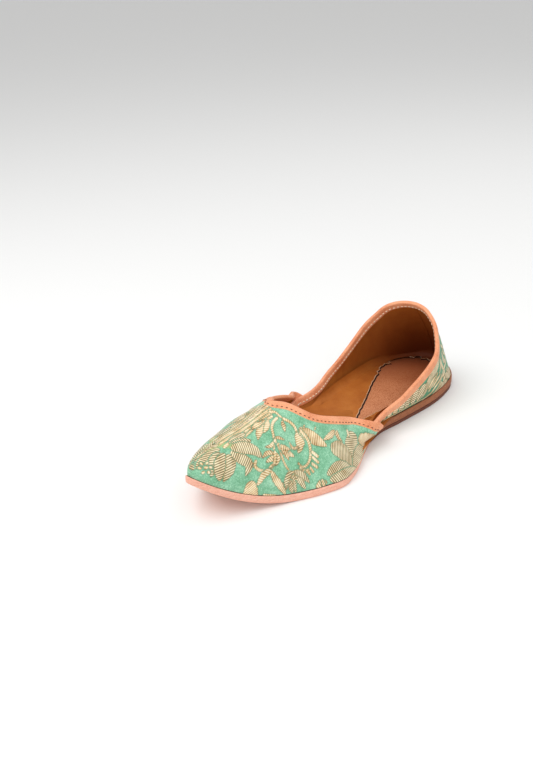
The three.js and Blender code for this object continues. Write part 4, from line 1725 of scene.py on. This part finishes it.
@dataclass(frozen=True)
class Quarters(UpperPart):
    """Back of the upper, round the heel, bound along the topline."""

    rows_of_flap: int = 40
    rows_behind: int = 190
    columns: int = 66
    lining_rows: tuple[int, int] = (16, 110)
    path_rows: tuple[int, int] = (40, 220)
    smoothing: int = 20
    stitch_reach: float = 1.15
    stitch_stand: float = 0.06

    def stations(self, of_flap: int, behind: int) -> np.ndarray:
        """Gives the ribs' stations, with one on the flaps' hinge.

        Args:
            of_flap: Steps along a flap.
            behind: Steps from the flaps' hinge to the heel.

        Returns:
            The stations.
        """
        last = self.last
        flap = last.stations_between(last.flap_station, last.flap_hinge, of_flap)[:-1]
        rear = last.stations_between(last.flap_hinge, 1, behind)[1:]
        return np.concatenate([flap, [last.flap_hinge], rear])

    def grid(self, stations: np.ndarray, columns: int, offset: float) -> tuple[Grid, np.ndarray, np.ndarray]:
        """Gives points in the quarters' wall, from the foot to the edge.

        Args:
            stations: The ribs' stations.
            columns: Steps up each rib.
            offset: Depth of the points in the wall, from its inner face.

        Returns:
            The points, and the station and the share of the height of each one.
        """
        station = np.repeat(stations[:, None], columns + 1, axis=1)
        share = np.repeat(np.linspace(0, 1, columns + 1)[None, :], len(stations), axis=0)
        points, _ = self.last.quarter_wall(station, share, offset)
        points[-1, :, 0] = 0
        return points, station, share

    def flat_cloth(self, points: Grid) -> np.ndarray:
        """Gives each point's place on the flat cloth: along the shoe's side, and up from the sole.

        Args:
            points: Points of the cloth.

        Returns:
            The two distances in millimetres, on the last axis.
        """
        foot = np.concatenate([[0], np.cumsum(np.linalg.norm(np.diff(points[:, 0], axis=0), axis=1))])
        up = np.linalg.norm(np.diff(points, axis=1), axis=2)
        height = np.concatenate([np.zeros((len(points), 1)), np.cumsum(up, axis=1)], axis=1)
        return np.stack([np.repeat(foot[:, None], points.shape[1], axis=1), height], -1)

    def cloth(self) -> MeshData:
        """Gives the quarters' brocade.

        Returns:
            The cloth's mesh.
        """
        stations = self.stations(self.rows_of_flap, self.rows_behind)
        outer, station, _ = self.grid(stations, self.columns, self.last.wall)
        inner, _, _ = self.grid(stations, self.columns, self.last.wall / 2)
        middle = np.zeros(station.shape, bool)
        middle[-1] = True
        return self.raised_cloth(inner, outer, self.flat_cloth(outer).reshape(-1, 2), middle)

    def topline_path(self) -> Path3D:
        """Gives the path along the topline.

        Returns:
            The path, from the near flap round the heel to the far one.
        """
        last = self.last
        station = self.stations(*self.path_rows)
        points, out = last.quarter_wall(station, np.ones(len(station)), last.wall / 2)
        points[-1, 0] = 0
        out[-1, 0] = 0
        return Path3D.along_edge(points, out, side=1, smoothing=self.smoothing)

    def build(self) -> None:
        """Makes the quarters' cloth, lining, binding and stitches."""
        make_piece("quarter_brocade", self.cloth(), self.brocade.build(), ["upper"])
        make_piece("quarter_lining", self.lining_sheet(self.stations(*self.lining_rows)), self.lining.build())
        path = self.topline_path()
        make_piece("collar_binding_leather", self.binding.strip(path), self.binding_leather.build(),
                   ["collar_binding"])
        row = StitchRow(pitch=2.9, stitch=2.1, radius=0.42)
        thread = WaxedThread("cream_thread", "#FBEBD0", "#D9B48E")
        stitches = row.stitches(path, self.stitch_reach, -self.binding.thickness / 2 - self.stitch_stand)
        make_piece("collar_stitches", stitches, thread.build())


@dataclass(frozen=True)
class Footbed:
    """Sock leather on the sole, and the lining turned in over it with a rough cut edge.

    The edge's rows are x and the distance from the toe, in millimetres, round the bare sock. The
    cove's rings are insets from the wall, and shares of the cove's height.
    """

    last: Last
    sock: Leather
    lining: Leather
    cut_edge: Leather
    gap_shadow: Leather
    bevel: float = 0.9
    steps: int = 240
    turned_thickness: float = 0.8
    cove: float = 4.6
    cove_lean: float = 1.7
    notch: float = 1.1
    outward_limit: float = 0.9
    notch_pitch: float = 3.4
    notch_share: float = 0.35
    heel_notch_share: float = 3.4
    heel_range: tuple[float, float] = (60.0, 100.0)
    lean_range: tuple[float, float] = (0.82, 0.93)
    cove_run: float = 0.05
    edge_steps: int = 280
    fold_steps: int = 13
    buried: float = 0.2
    strip_thickness: float = 0.12
    strip_buried: float = 0.1
    cut_reach: tuple[float, float] = (-0.1, 0.2)
    gap_shadow_reach: tuple[float, float] = (-1.0, -0.1)
    seed: int = 7
    cove_rings: tuple[tuple[float, float], ...] = (
        (0.15, 0.0), (0.1, 1.0), (0.75, 0.58), (1.9, 0.24), (3.9, 0.05))
    edge: tuple[tuple[float, float], ...] = (
        (13.6, 131.5), (14.6, 138.3), (16.4, 148.5), (18.3, 159.8), (19.6, 172.0), (20.4, 190.0),
        (20.6, 206.0), (18.8, 221.0), (13.0, 234.5), (5.0, 241.0), (-4.0, 241.6), (-9.6, 240.2),
        (-14.4, 236.6), (-18.6, 230.2), (-21.2, 221.6), (-18.7, 205.8), (-12.7, 190.4), (-2.3, 168.0),
        (4.7, 151.8), (10.2, 138.4), (12.0, 132.2))

    def build(self) -> None:
        """Makes the sock, the turned-in lining, its cut edge and the strip of painted shadow beside it."""
        last = self.last
        stations = last.stations_between(0, 1, self.steps)
        inset = last.welt + last.wall + last.clearance
        levels = [(inset, lambda y: last.sole_top(y) + last.clearance), (inset + self.bevel, last.insole_top)]
        sock = Sole(last).plate(stations, levels)
        make_piece("sock_leather", sock, self.sock.build(), ["insole"])
        self.build_lining()

    def rough_edge(self, count: int) -> tuple[np.ndarray, np.ndarray]:
        """Gives points on the lining's cut edge, with its seeded notches.

        Args:
            count: How many points there are.

        Returns:
            The points in plan, and the directions away from the sock.
        """
        rows = np.array(self.edge) - (0, self.last.length / 2)
        loop = np.vstack([rows, rows[:1]])
        lengths = np.concatenate([[0], np.cumsum(np.hypot(*np.diff(loop, axis=0).T))])
        places = np.linspace(0, lengths[-1], count, endpoint=False)
        plan = np.stack([Curve(lengths, loop[:, k])(places) for k in range(2)], -1)
        along = np.roll(plan, -1, axis=0) - np.roll(plan, 1, axis=0)
        along /= np.linalg.norm(along, axis=1, keepdims=True)
        outward = np.stack([along[:, 1], -along[:, 0]], -1)
        noise = np.random.default_rng(self.seed)
        knots = np.arange(0, lengths[-1] + self.notch_pitch, self.notch_pitch)
        rough = np.interp(places, knots, noise.uniform(-1, 1, len(knots)))
        share = self.notch_share + self.heel_notch_share * smooth_step(plan[:, 1], *self.heel_range)
        shift = np.minimum(self.notch * rough * share, self.outward_limit)
        return plan + outward * shift[:, None], outward

    def build_lining(self) -> None:
        """Makes the lining that is turned in over the sock, its pale cut edge, and a strip of painted shadow
        beside it.
        """
        last = self.last
        near = last.stations_between(0, 1, self.edge_steps)
        stations = np.concatenate([near, near[-2:0:-1]])
        side = np.concatenate([np.ones(len(near)), -np.ones(len(near) - 2)])
        plan, outward = self.rough_edge(len(stations))
        rise = self.cove * smooth_step(stations, last.corner_station, last.corner_station + self.cove_run)
        lean = self.cove_lean * smooth_step(stations, *self.lean_range)
        down = (0, 0, self.turned_thickness + self.buried)
        rings = []
        for inset, share in self.cove_rings:
            x, y = last.outline(stations, last.welt + last.wall + inset + lean * share)
            rings.append(self.on_turned(np.stack([x * side, y], -1)))
            rings[-1][:, 2] += rise * share
        rings[0] -= down
        wide = rings[-1][:, :2]
        for share in np.linspace(0, 1, self.fold_steps + 1)[1:]:
            rings.append(self.on_turned(wide + (plan - wide) * share))
        rings.append(self.on_turned(plan) - down)
        lining = tube(np.swapaxes(np.array(rings), 0, 1), closed=True)
        make_piece("turned_in_lining", lining, self.lining.build())
        self.edge_strip("lining_cut_edge", plan, outward, self.cut_reach, self.turned_thickness,
                        self.cut_edge)
        # A dark strip of painted shadow, where the gap under the cut edge lies in shade.
        self.edge_strip("painted_gap_shadow", plan, outward, self.gap_shadow_reach, 0.0, self.gap_shadow)

    def on_turned(self, plan: np.ndarray) -> np.ndarray:
        """Gives the points over a plan that lie on the turned-in lining."""
        return np.column_stack([plan, self.last.insole_top(plan[:, 1]) + self.turned_thickness])

    def edge_strip(self, name: str, plan: np.ndarray, outward: np.ndarray, reach: tuple[float, float],
                   height: float, finish: Leather) -> None:
        """Makes a thin strip that follows the cut edge.

        Args:
            name: The strip's name.
            plan: Points of the cut edge.
            outward: Directions away from the sock.
            reach: The strip's two sides, as distances from the edge away from the sock.
            height: Height of what it lies on, over the sock.
            finish: Its finish.
        """
        rings = []
        low, high = -self.strip_buried, self.strip_thickness
        for away, up in ((reach[0], low), (reach[0], high), (reach[1], high), (reach[1], low)):
            points = plan + outward * away
            rings.append(np.column_stack([points, self.last.insole_top(points[:, 1]) + height + up]))
        strip = tube(np.swapaxes(np.array(rings), 0, 1), closed=True)
        make_piece(name, strip, finish.build())


# Studio

class SoftLight(NamedTuple):
    """Square light that faces the shoe: its angles in degrees, its power in watts, its side in metres."""

    name: str
    azimuth: float
    elevation: float
    power: float
    size: float


@dataclass(frozen=True)
class Studio:
    """White paper floor, soft lights, and the camera at the photograph's angle."""

    azimuth: float = 42.311
    elevation: float = 26.523
    roll: float = 1.925
    distance: float = 616.7
    focal_px: float = 970.9
    aim_right: float = -39.77
    aim_up: float = 16.3
    middle_z: float = 20.0
    sensor_mm: float = 36.0
    clip_range: tuple[float, float] = (0.01, 20.0)
    floor_half: float = 3.0
    light_distance: float = 1.1
    world_strength: float = 0.62
    lights: tuple[SoftLight, ...] = (
        SoftLight("key", -20, 60, 6.0, 0.8), SoftLight("front", 60, 40, 2.4, 1.0),
        SoftLight("back", 160, 50, 2.0, 0.9))

    def direction(self, azimuth: float, elevation: float) -> Vector:
        """Gives the direction from the shoe to a place.

        Args:
            azimuth: The place's angle round the shoe, in degrees.
            elevation: Its angle above the floor, in degrees.

        Returns:
            The direction.
        """
        a, e = math.radians(azimuth), math.radians(elevation)
        return Vector((math.sin(a) * math.cos(e), -math.cos(a) * math.cos(e), math.sin(e)))

    def add_camera(self) -> None:
        """Adds the camera and makes it the scene's."""
        data = bpy.data.cameras.new("camera")
        data.sensor_width = self.sensor_mm
        data.lens = self.focal_px * self.sensor_mm / PHOTO_HEIGHT
        data.clip_start, data.clip_end = self.clip_range
        camera = bpy.data.objects.new("camera", data)
        back = self.direction(self.azimuth, self.elevation)
        level = back.to_track_quat("Z", "Y")
        aim = Vector((0, 0, self.middle_z)) + level @ Vector((self.aim_right, self.aim_up, 0))
        camera.location = (aim + back * self.distance) * MM
        rolled = level @ Quaternion((0, 0, 1), -math.radians(self.roll))
        camera.rotation_euler = rolled.to_euler()
        bpy.context.scene.collection.objects.link(camera)
        bpy.context.scene.camera = camera

    def add_light(self, soft: SoftLight) -> None:
        """Adds one soft light.

        Args:
            soft: The light.
        """
        data = bpy.data.lights.new(soft.name, "AREA")
        data.energy = soft.power
        data.size = soft.size
        light = bpy.data.objects.new(soft.name, data)
        towards = self.direction(soft.azimuth, soft.elevation)
        light.location = towards * self.light_distance
        light.rotation_euler = towards.to_track_quat("Z", "Y").to_euler()
        bpy.context.scene.collection.objects.link(light)

    def add_floor(self) -> None:
        """Adds the white paper floor."""
        mesh = bpy.data.meshes.new("floor")
        half = self.floor_half
        corners = [(-half, -half, 0), (half, -half, 0), (half, half, 0), (-half, half, 0)]
        mesh.from_pydata(corners, [], [(0, 1, 2, 3)])
        mesh.materials.append(StudioPaper().build())
        floor = bpy.data.objects.new("floor", mesh)
        bpy.context.scene.collection.objects.link(floor)

    def build(self) -> None:
        """Builds the studio."""
        self.add_camera()
        self.add_floor()
        for soft in self.lights:
            self.add_light(soft)
        world = bpy.data.worlds.new("soft_white")
        world.use_nodes = True
        background = world.node_tree.nodes["Background"]
        background.inputs["Color"].default_value = linear("#FFFFFF")
        background.inputs["Strength"].default_value = self.world_strength
        bpy.context.scene.world = world
        bpy.context.scene.view_settings.view_transform = "Standard"


# Patterns, as places on the flat cloth in millimetres: motif, half width, and the middle line

STEM, LEAF, PETAL, BEAD, HEART = Motif


def shapes_of(*rows: tuple[Any, ...]) -> tuple[Shape, ...]:
    """Gives the woven shapes of a table's rows."""
    return tuple(Shape(row[0], row[1], row[2:]) for row in rows)


VAMP_SHAPES = shapes_of(
    (STEM, 1.25, (61.1, 6.5), (52.9, 5.8), (44.7, 5.9), (36, 6.9)),
    (STEM, 1.35, (63.9, 4.5), (51, 3.8), (38.2, 4.4), (23.4, 5.4)),
    (STEM, 1.4, (64, 2.6), (48, 2.3), (34, 2.3), (16, 2.2)),
    (STEM, 1.5, (64, 0), (46, 0), (30, 0), (12, 0)),
    (PETAL, 2, (22.8, 1.6), (16, 1.4), (10, 1.9), (-4.8, 11.9)),
    (PETAL, 2.1, (20.2, 4.4), (13.5, 4.9), (7.9, 6.3), (3.4, 8.9)),
    (PETAL, 2.4, (18.9, 6.6), (12.8, 9.4), (8.9, 15.6)),
    (PETAL, 2.6, (20.5, 8.3), (15, 12.4), (12.5, 20)),
    (PETAL, 2.3, (21.9, 9.8), (20.7, 15.7), (14.2, 21.4)),
    (PETAL, 2, (27.9, 5.2), (33.3, 5.4), (40.3, 5.1)),
    (PETAL, 2.2, (27.9, 6.8), (33.4, 8.5), (39.8, 10.2)),
    (PETAL, 2.3, (24.6, 9.6), (27.4, 14.9), (30.7, 20.1), (26.5, 24.9)),
    (PETAL, 2.7, (26.2, 7.9), (32.6, 11.1), (37.4, 15.4), (39.6, 21.6)),
    (LEAF, 2, (57.1, 6.8), (51.8, 7.7), (46.9, 9.8), (43.3, 12.5)),
    (LEAF, 1.3, (57.6, 7.1), (53.7, 9.9), (49.4, 11.4)),
    (LEAF, 1.4, (53.2, 6.4), (50, 5.5), (45.6, 5.6)),
    (STEM, 0.9, (63.6, 9.3), (59.5, 9.9), (55.8, 12.1), (53.5, 15.7), (51.4, 18.4), (46.9, 23.9)),
    (STEM, 0.9, (62.8, 4.1), (65.5, 5.8), (66.3, 9.3), (67.4, 12.8)),
    (LEAF, 0.8, (53.5, 17.1), (55.9, 19.2), (58.1, 21.9)),
    (LEAF, 0.9, (51.4, 18.4), (48, 19.4), (44.4, 17.8)),
    (LEAF, 1.2, (47.5, 24.2), (44, 21.3), (39.3, 21.6)),
    (LEAF, 1.2, (47.2, 25.8), (43.8, 25), (40.4, 24.6)),
    (LEAF, 1.3, (48.4, 24.2), (47.8, 27.4), (44.3, 29.4)),
    (STEM, 0.9, (48.1, 23.4), (45.6, 27.2), (42.2, 29.2), (40.8, 30.7)),
    (STEM, 0.9, (35.1, 21.1), (33.5, 22.8), (35.3, 26.3), (39.1, 28.5), (42.9, 27.9)),
    (LEAF, 1.6, (41.8, 30.1), (36.5, 29.8), (30.7, 33.9)),
    (LEAF, 1.5, (41.2, 29.8), (42, 35), (43.8, 40.4), (46.4, 48.5)),
    (BEAD, 0.6, (34.4, 40.9), (40.9, 45.4)),
    (STEM, 0.8, (52.3, 18.3), (51.6, 24.3), (50.3, 30.8), (51.4, 37.5)),
    (LEAF, 1.6, (52.3, 20.3), (54.3, 26.1), (58.1, 32.7)),
    (LEAF, 1.3, (53.1, 23.4), (54, 27.7), (53.6, 31.8)),
    (LEAF, 1, (53.2, 22.2), (55.7, 25.6), (58, 28.3)),
    (LEAF, 1.2, (65.2, 12.3), (63.5, 15.7), (61.7, 18.3)),
    (STEM, 1, (67.3, 12), (69.3, 15.4), (70, 19.4), (68.4, 23.3), (66.2, 26.8)),
    (LEAF, 2.5, (68.8, 22.9), (67, 28), (61.7, 32.3)),
    (LEAF, 0.8, (64.4, 29.9), (60, 28.2), (60.2, 23.7)),
    (LEAF, 3.3, (71.5, 21.7), (75.6, 29.8), (81.1, 39)),
    (STEM, 1, (71.8, 23.3), (72.2, 29.9), (70.1, 35.2), (67.3, 38.6), (63.7, 40.3), (60, 39.9),
     (58.3, 36.6)),
    (BEAD, 0.9, (70.5, 36.8), (71.9, 40.3)),
    (BEAD, 0.8, (69, 39.3), (70.4, 43.1)),
    (BEAD, 0.8, (66.8, 41.8), (68.4, 44.9)),
    (BEAD, 0.7, (64.4, 42.8), (65, 45.6)),
    (BEAD, 0.7, (62, 42.6), (62.2, 45.5)),
    (BEAD, 0.7, (59.9, 41.4), (59.7, 43.6)),
    (BEAD, 0.7, (58.4, 39), (58, 41.2)),
    (PETAL, 1.7, (53.3, 38.1), (49.1, 39.6), (47.6, 46.1)),
    (PETAL, 1.4, (53.2, 39.8), (51.3, 43.4), (52, 50.2)),
    (PETAL, 1.2, (54.5, 40), (55.8, 45.7), (57.5, 51.8)),
    (PETAL, 1.2, (53.3, 38.1), (57.7, 42.7), (60.4, 49.8)),
    (PETAL, 1.1, (50.5, 41.6), (49.7, 44.8), (50.3, 49.7)),
    (LEAF, 1.5, (94, 33.6), (87.9, 35), (81.4, 35)),
    (LEAF, 1.3, (95.6, 34.2), (93.3, 38.1), (94.6, 42.2)),
    (PETAL, 5.3, (106.5, 41), (101.5, 47.4), (90.2, 56.7)),
    (PETAL, 4.5, (83.8, 42.2), (89.4, 45.2), (90.3, 49.9), (89.2, 56.4)),
    (PETAL, 3.5, (113.3, 50.7), (103.8, 53.2), (92.5, 57)),
    (PETAL, 3.5, (90.1, 58.5), (81.3, 53.1), (71.9, 51.4)),
    (PETAL, 2.5, (72.4, 54.8), (80.3, 57.4), (95.8, 58.1)),
    (LEAF, 1.8, (63.8, 53.6), (67.1, 53.8), (70.1, 55.1)),
    (LEAF, 0.9, (68, 51.9), (67.9, 54.4), (68.3, 57)),
    (BEAD, 0.4, (76.3, 21.7), (74.6, 22.6)),
    (BEAD, 0.4, (82, 26.3), (80.5, 27.2)),
    (LEAF, 3.4, (28.2, 29.3), (27.4, 36.4), (27, 46)),
    (LEAF, 3.4, (110.7, 44.9), (119.1, 50.4), (128.4, 55.3)),
    (BEAD, 0.8, (104.4, 37.8), (102.8, 40.3)),
    (LEAF, 2.2, (98.7, 59.8), (108, 61), (116, 61)),
    (LEAF, 1.8, (112.5, 56), (118.6, 56.1), (125.9, 60.1)),
    (BEAD, 0.8, (7.7, 9.8), (8.3, 9.8)),
    (BEAD, 0.7, (10, 10.6), (10.4, 10.8)),
    (BEAD, 0.7, (8.3, 12.4), (8.5, 12.8)),
    (BEAD, 0.7, (6, 11.6), (5.7, 11.8)),
    (BEAD, 0.7, (5.4, 9), (5, 8.8)),
    (BEAD, 0.7, (7.1, 7.3), (6.9, 6.9)),
    (BEAD, 0.7, (9.4, 8.1), (9.7, 7.8)),
    (HEART, 1.5, (15, 1), (21, 2.4), (27.1, 6.8)),
)

QUARTER_SHAPES = shapes_of(
    (STEM, 1.2, (111, 1.2), (118, 3), (124, 7.5), (136, 10.5), (149, 12.5), (159, 17), (166, 26),
     (168, 36)),
    (STEM, 1.1, (123, 0.3), (127, 3), (131, 7), (136, 10.5)),
    (PETAL, 3.2, (129, 27), (119, 20), (111.5, 12.5), (107, 4)),
    (LEAF, 1.7, (125, 17.5), (118, 12.5), (113.5, 5.5)),
    (PETAL, 2.2, (163, 1.5), (150, 3.2), (136, 6.8)),
    (PETAL, 2, (126, 0.4), (137, 1.4), (147, 0.6)),
    (PETAL, 2.2, (152, 36), (158, 29), (160, 19)),
    (PETAL, 2, (150, 14), (144, 19), (141, 27)),
    (LEAF, 1.6, (141, 12), (136, 17), (134, 24)),
    (STEM, 1.1, (156, 0.5), (166, 5), (175, 12), (181, 22), (184.6, 34)),
    (PETAL, 2.4, (167, 7), (172, 14), (172.5, 23)),
    (PETAL, 2.4, (177, 15), (176, 24), (172, 33)),
    (PETAL, 2.2, (168, 4.5), (176, 3.6), (184, 6.5)),
    (PETAL, 2, (178, 13), (182, 12), (186, 14)),
    (PETAL, 2.3, (168, 35), (172, 43), (170, 52)),
    (PETAL, 2, (167, 33), (162, 38), (158, 46)),
    (PETAL, 2.4, (184.8, 34), (182, 42), (179, 50)),
    (PETAL, 2.7, (108.5, 14.5), (104, 10.5), (103.5, 2.2)),
    (PETAL, 2.5, (100.5, 14.5), (97, 10), (98, 2)),
    (PETAL, 2.4, (93.5, 13.8), (90.3, 9.8), (92, 2)),
    (PETAL, 2.1, (87, 12.8), (84.5, 8.8), (86.5, 2)),
    (LEAF, 1.9, (81.3, 11.4), (79, 7.8), (81, 1.8)),
    (LEAF, 1.7, (76, 9.8), (73.8, 6.8), (75.5, 1.6)),
    (LEAF, 1.5, (71, 8.2), (69, 5.8), (70.5, 1.4)),
    (LEAF, 1.3, (66.4, 6.6), (64.6, 4.6), (66, 1.2)),
    (LEAF, 1.1, (61.5, 5), (60.2, 3.4), (61.5, 1)),
    (STEM, 0.8, (45, 1.5), (63, 2.2), (77, 2.8), (88, 3.2), (102, 2.6), (116, 1.2)),
    (LEAF, 1.2, (112, 9), (117, 13.5), (123, 16.5)),
    (LEAF, 1.2, (118, 8), (124, 12), (131, 13.5)),
    (LEAF, 1.3, (127, 14.5), (131, 19), (133, 27)),
    (LEAF, 1.3, (146, 27), (150, 21), (155, 18)),
    (LEAF, 1.2, (143, 32), (148, 28), (153, 24.5)),
    (LEAF, 1.1, (134, 9), (140, 8), (147, 9.5)),
    (BEAD, 1.1, (130.5, 3), (133.5, 4.5)),
    (BEAD, 1.1, (139, 4), (142, 4.6)),
    (BEAD, 1, (150, 6.6), (153, 7.4)),
)


def main() -> None:
    """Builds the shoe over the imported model, then the studio round it."""
    logging.basicConfig(level=logging.INFO, format="%(message)s")
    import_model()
    last = Last()
    # Thin leather, dyed coral and polished: the glossiest of the leathers.
    binding_leather = Leather("binding_leather", "#D2794E", "#F0A276", "#FAB98F", roughness=0.48)
    # Lining leather, dyed brown: fine pores and little gloss, with painted shade low behind the heel.
    lining = Leather("lining_leather", "#985019", "#AC6223", "#BA722E", roughness=0.58, pore_mm=0.5,
                     specular=0.22, pore_share=0.1, heel_shade="#652A0A")
    # Sock leather, tan and unpolished: coarse pores, and painted shade towards the heel.
    sock = Leather("sock_leather", "#A8613A", "#C37C50", "#D6946A", roughness=0.6, pore_mm=0.9,
                   heel_shade="#9C5029", pore_share=0.5)
    # The lining's cut edge shows the leather's pale inside. Beside it runs a dark strip of painted shadow,
    # for the gap under the edge.
    cut_edge = Leather("cut_edge_leather", "#A86A3A", "#D9B48E", "#F6EAD8", roughness=0.8, cloud_mm=4.0)
    gap_shadow = Leather("painted_gap_shadow", "#120A06", "#1C100A", "#2A1A10", roughness=0.6)
    # The vamp's satin is dyed mint and has a sheen. The quarters' one is a darker green without sheen,
    # partly its own colour and partly painted shade where those walls turn away from the light.
    mint = SatinBrocade("mint_brocade", "#549A71", "#80BE97", "#B2E2C4")
    shaded_green = SatinBrocade("green_brocade", "#1F6A44", "#368A5E", "#63AE86", sheen=0.0)
    Studio().build()
    Sole(last).build()
    Footbed(last, sock, lining, cut_edge, gap_shadow).build()
    Vamp(last, Brocade(VAMP_SHAPES), mint, lining, binding_leather).build()
    Quarters(last, Brocade(QUARTER_SHAPES), shaded_green, lining, binding_leather).build()


if __name__ == "__main__":
    main()
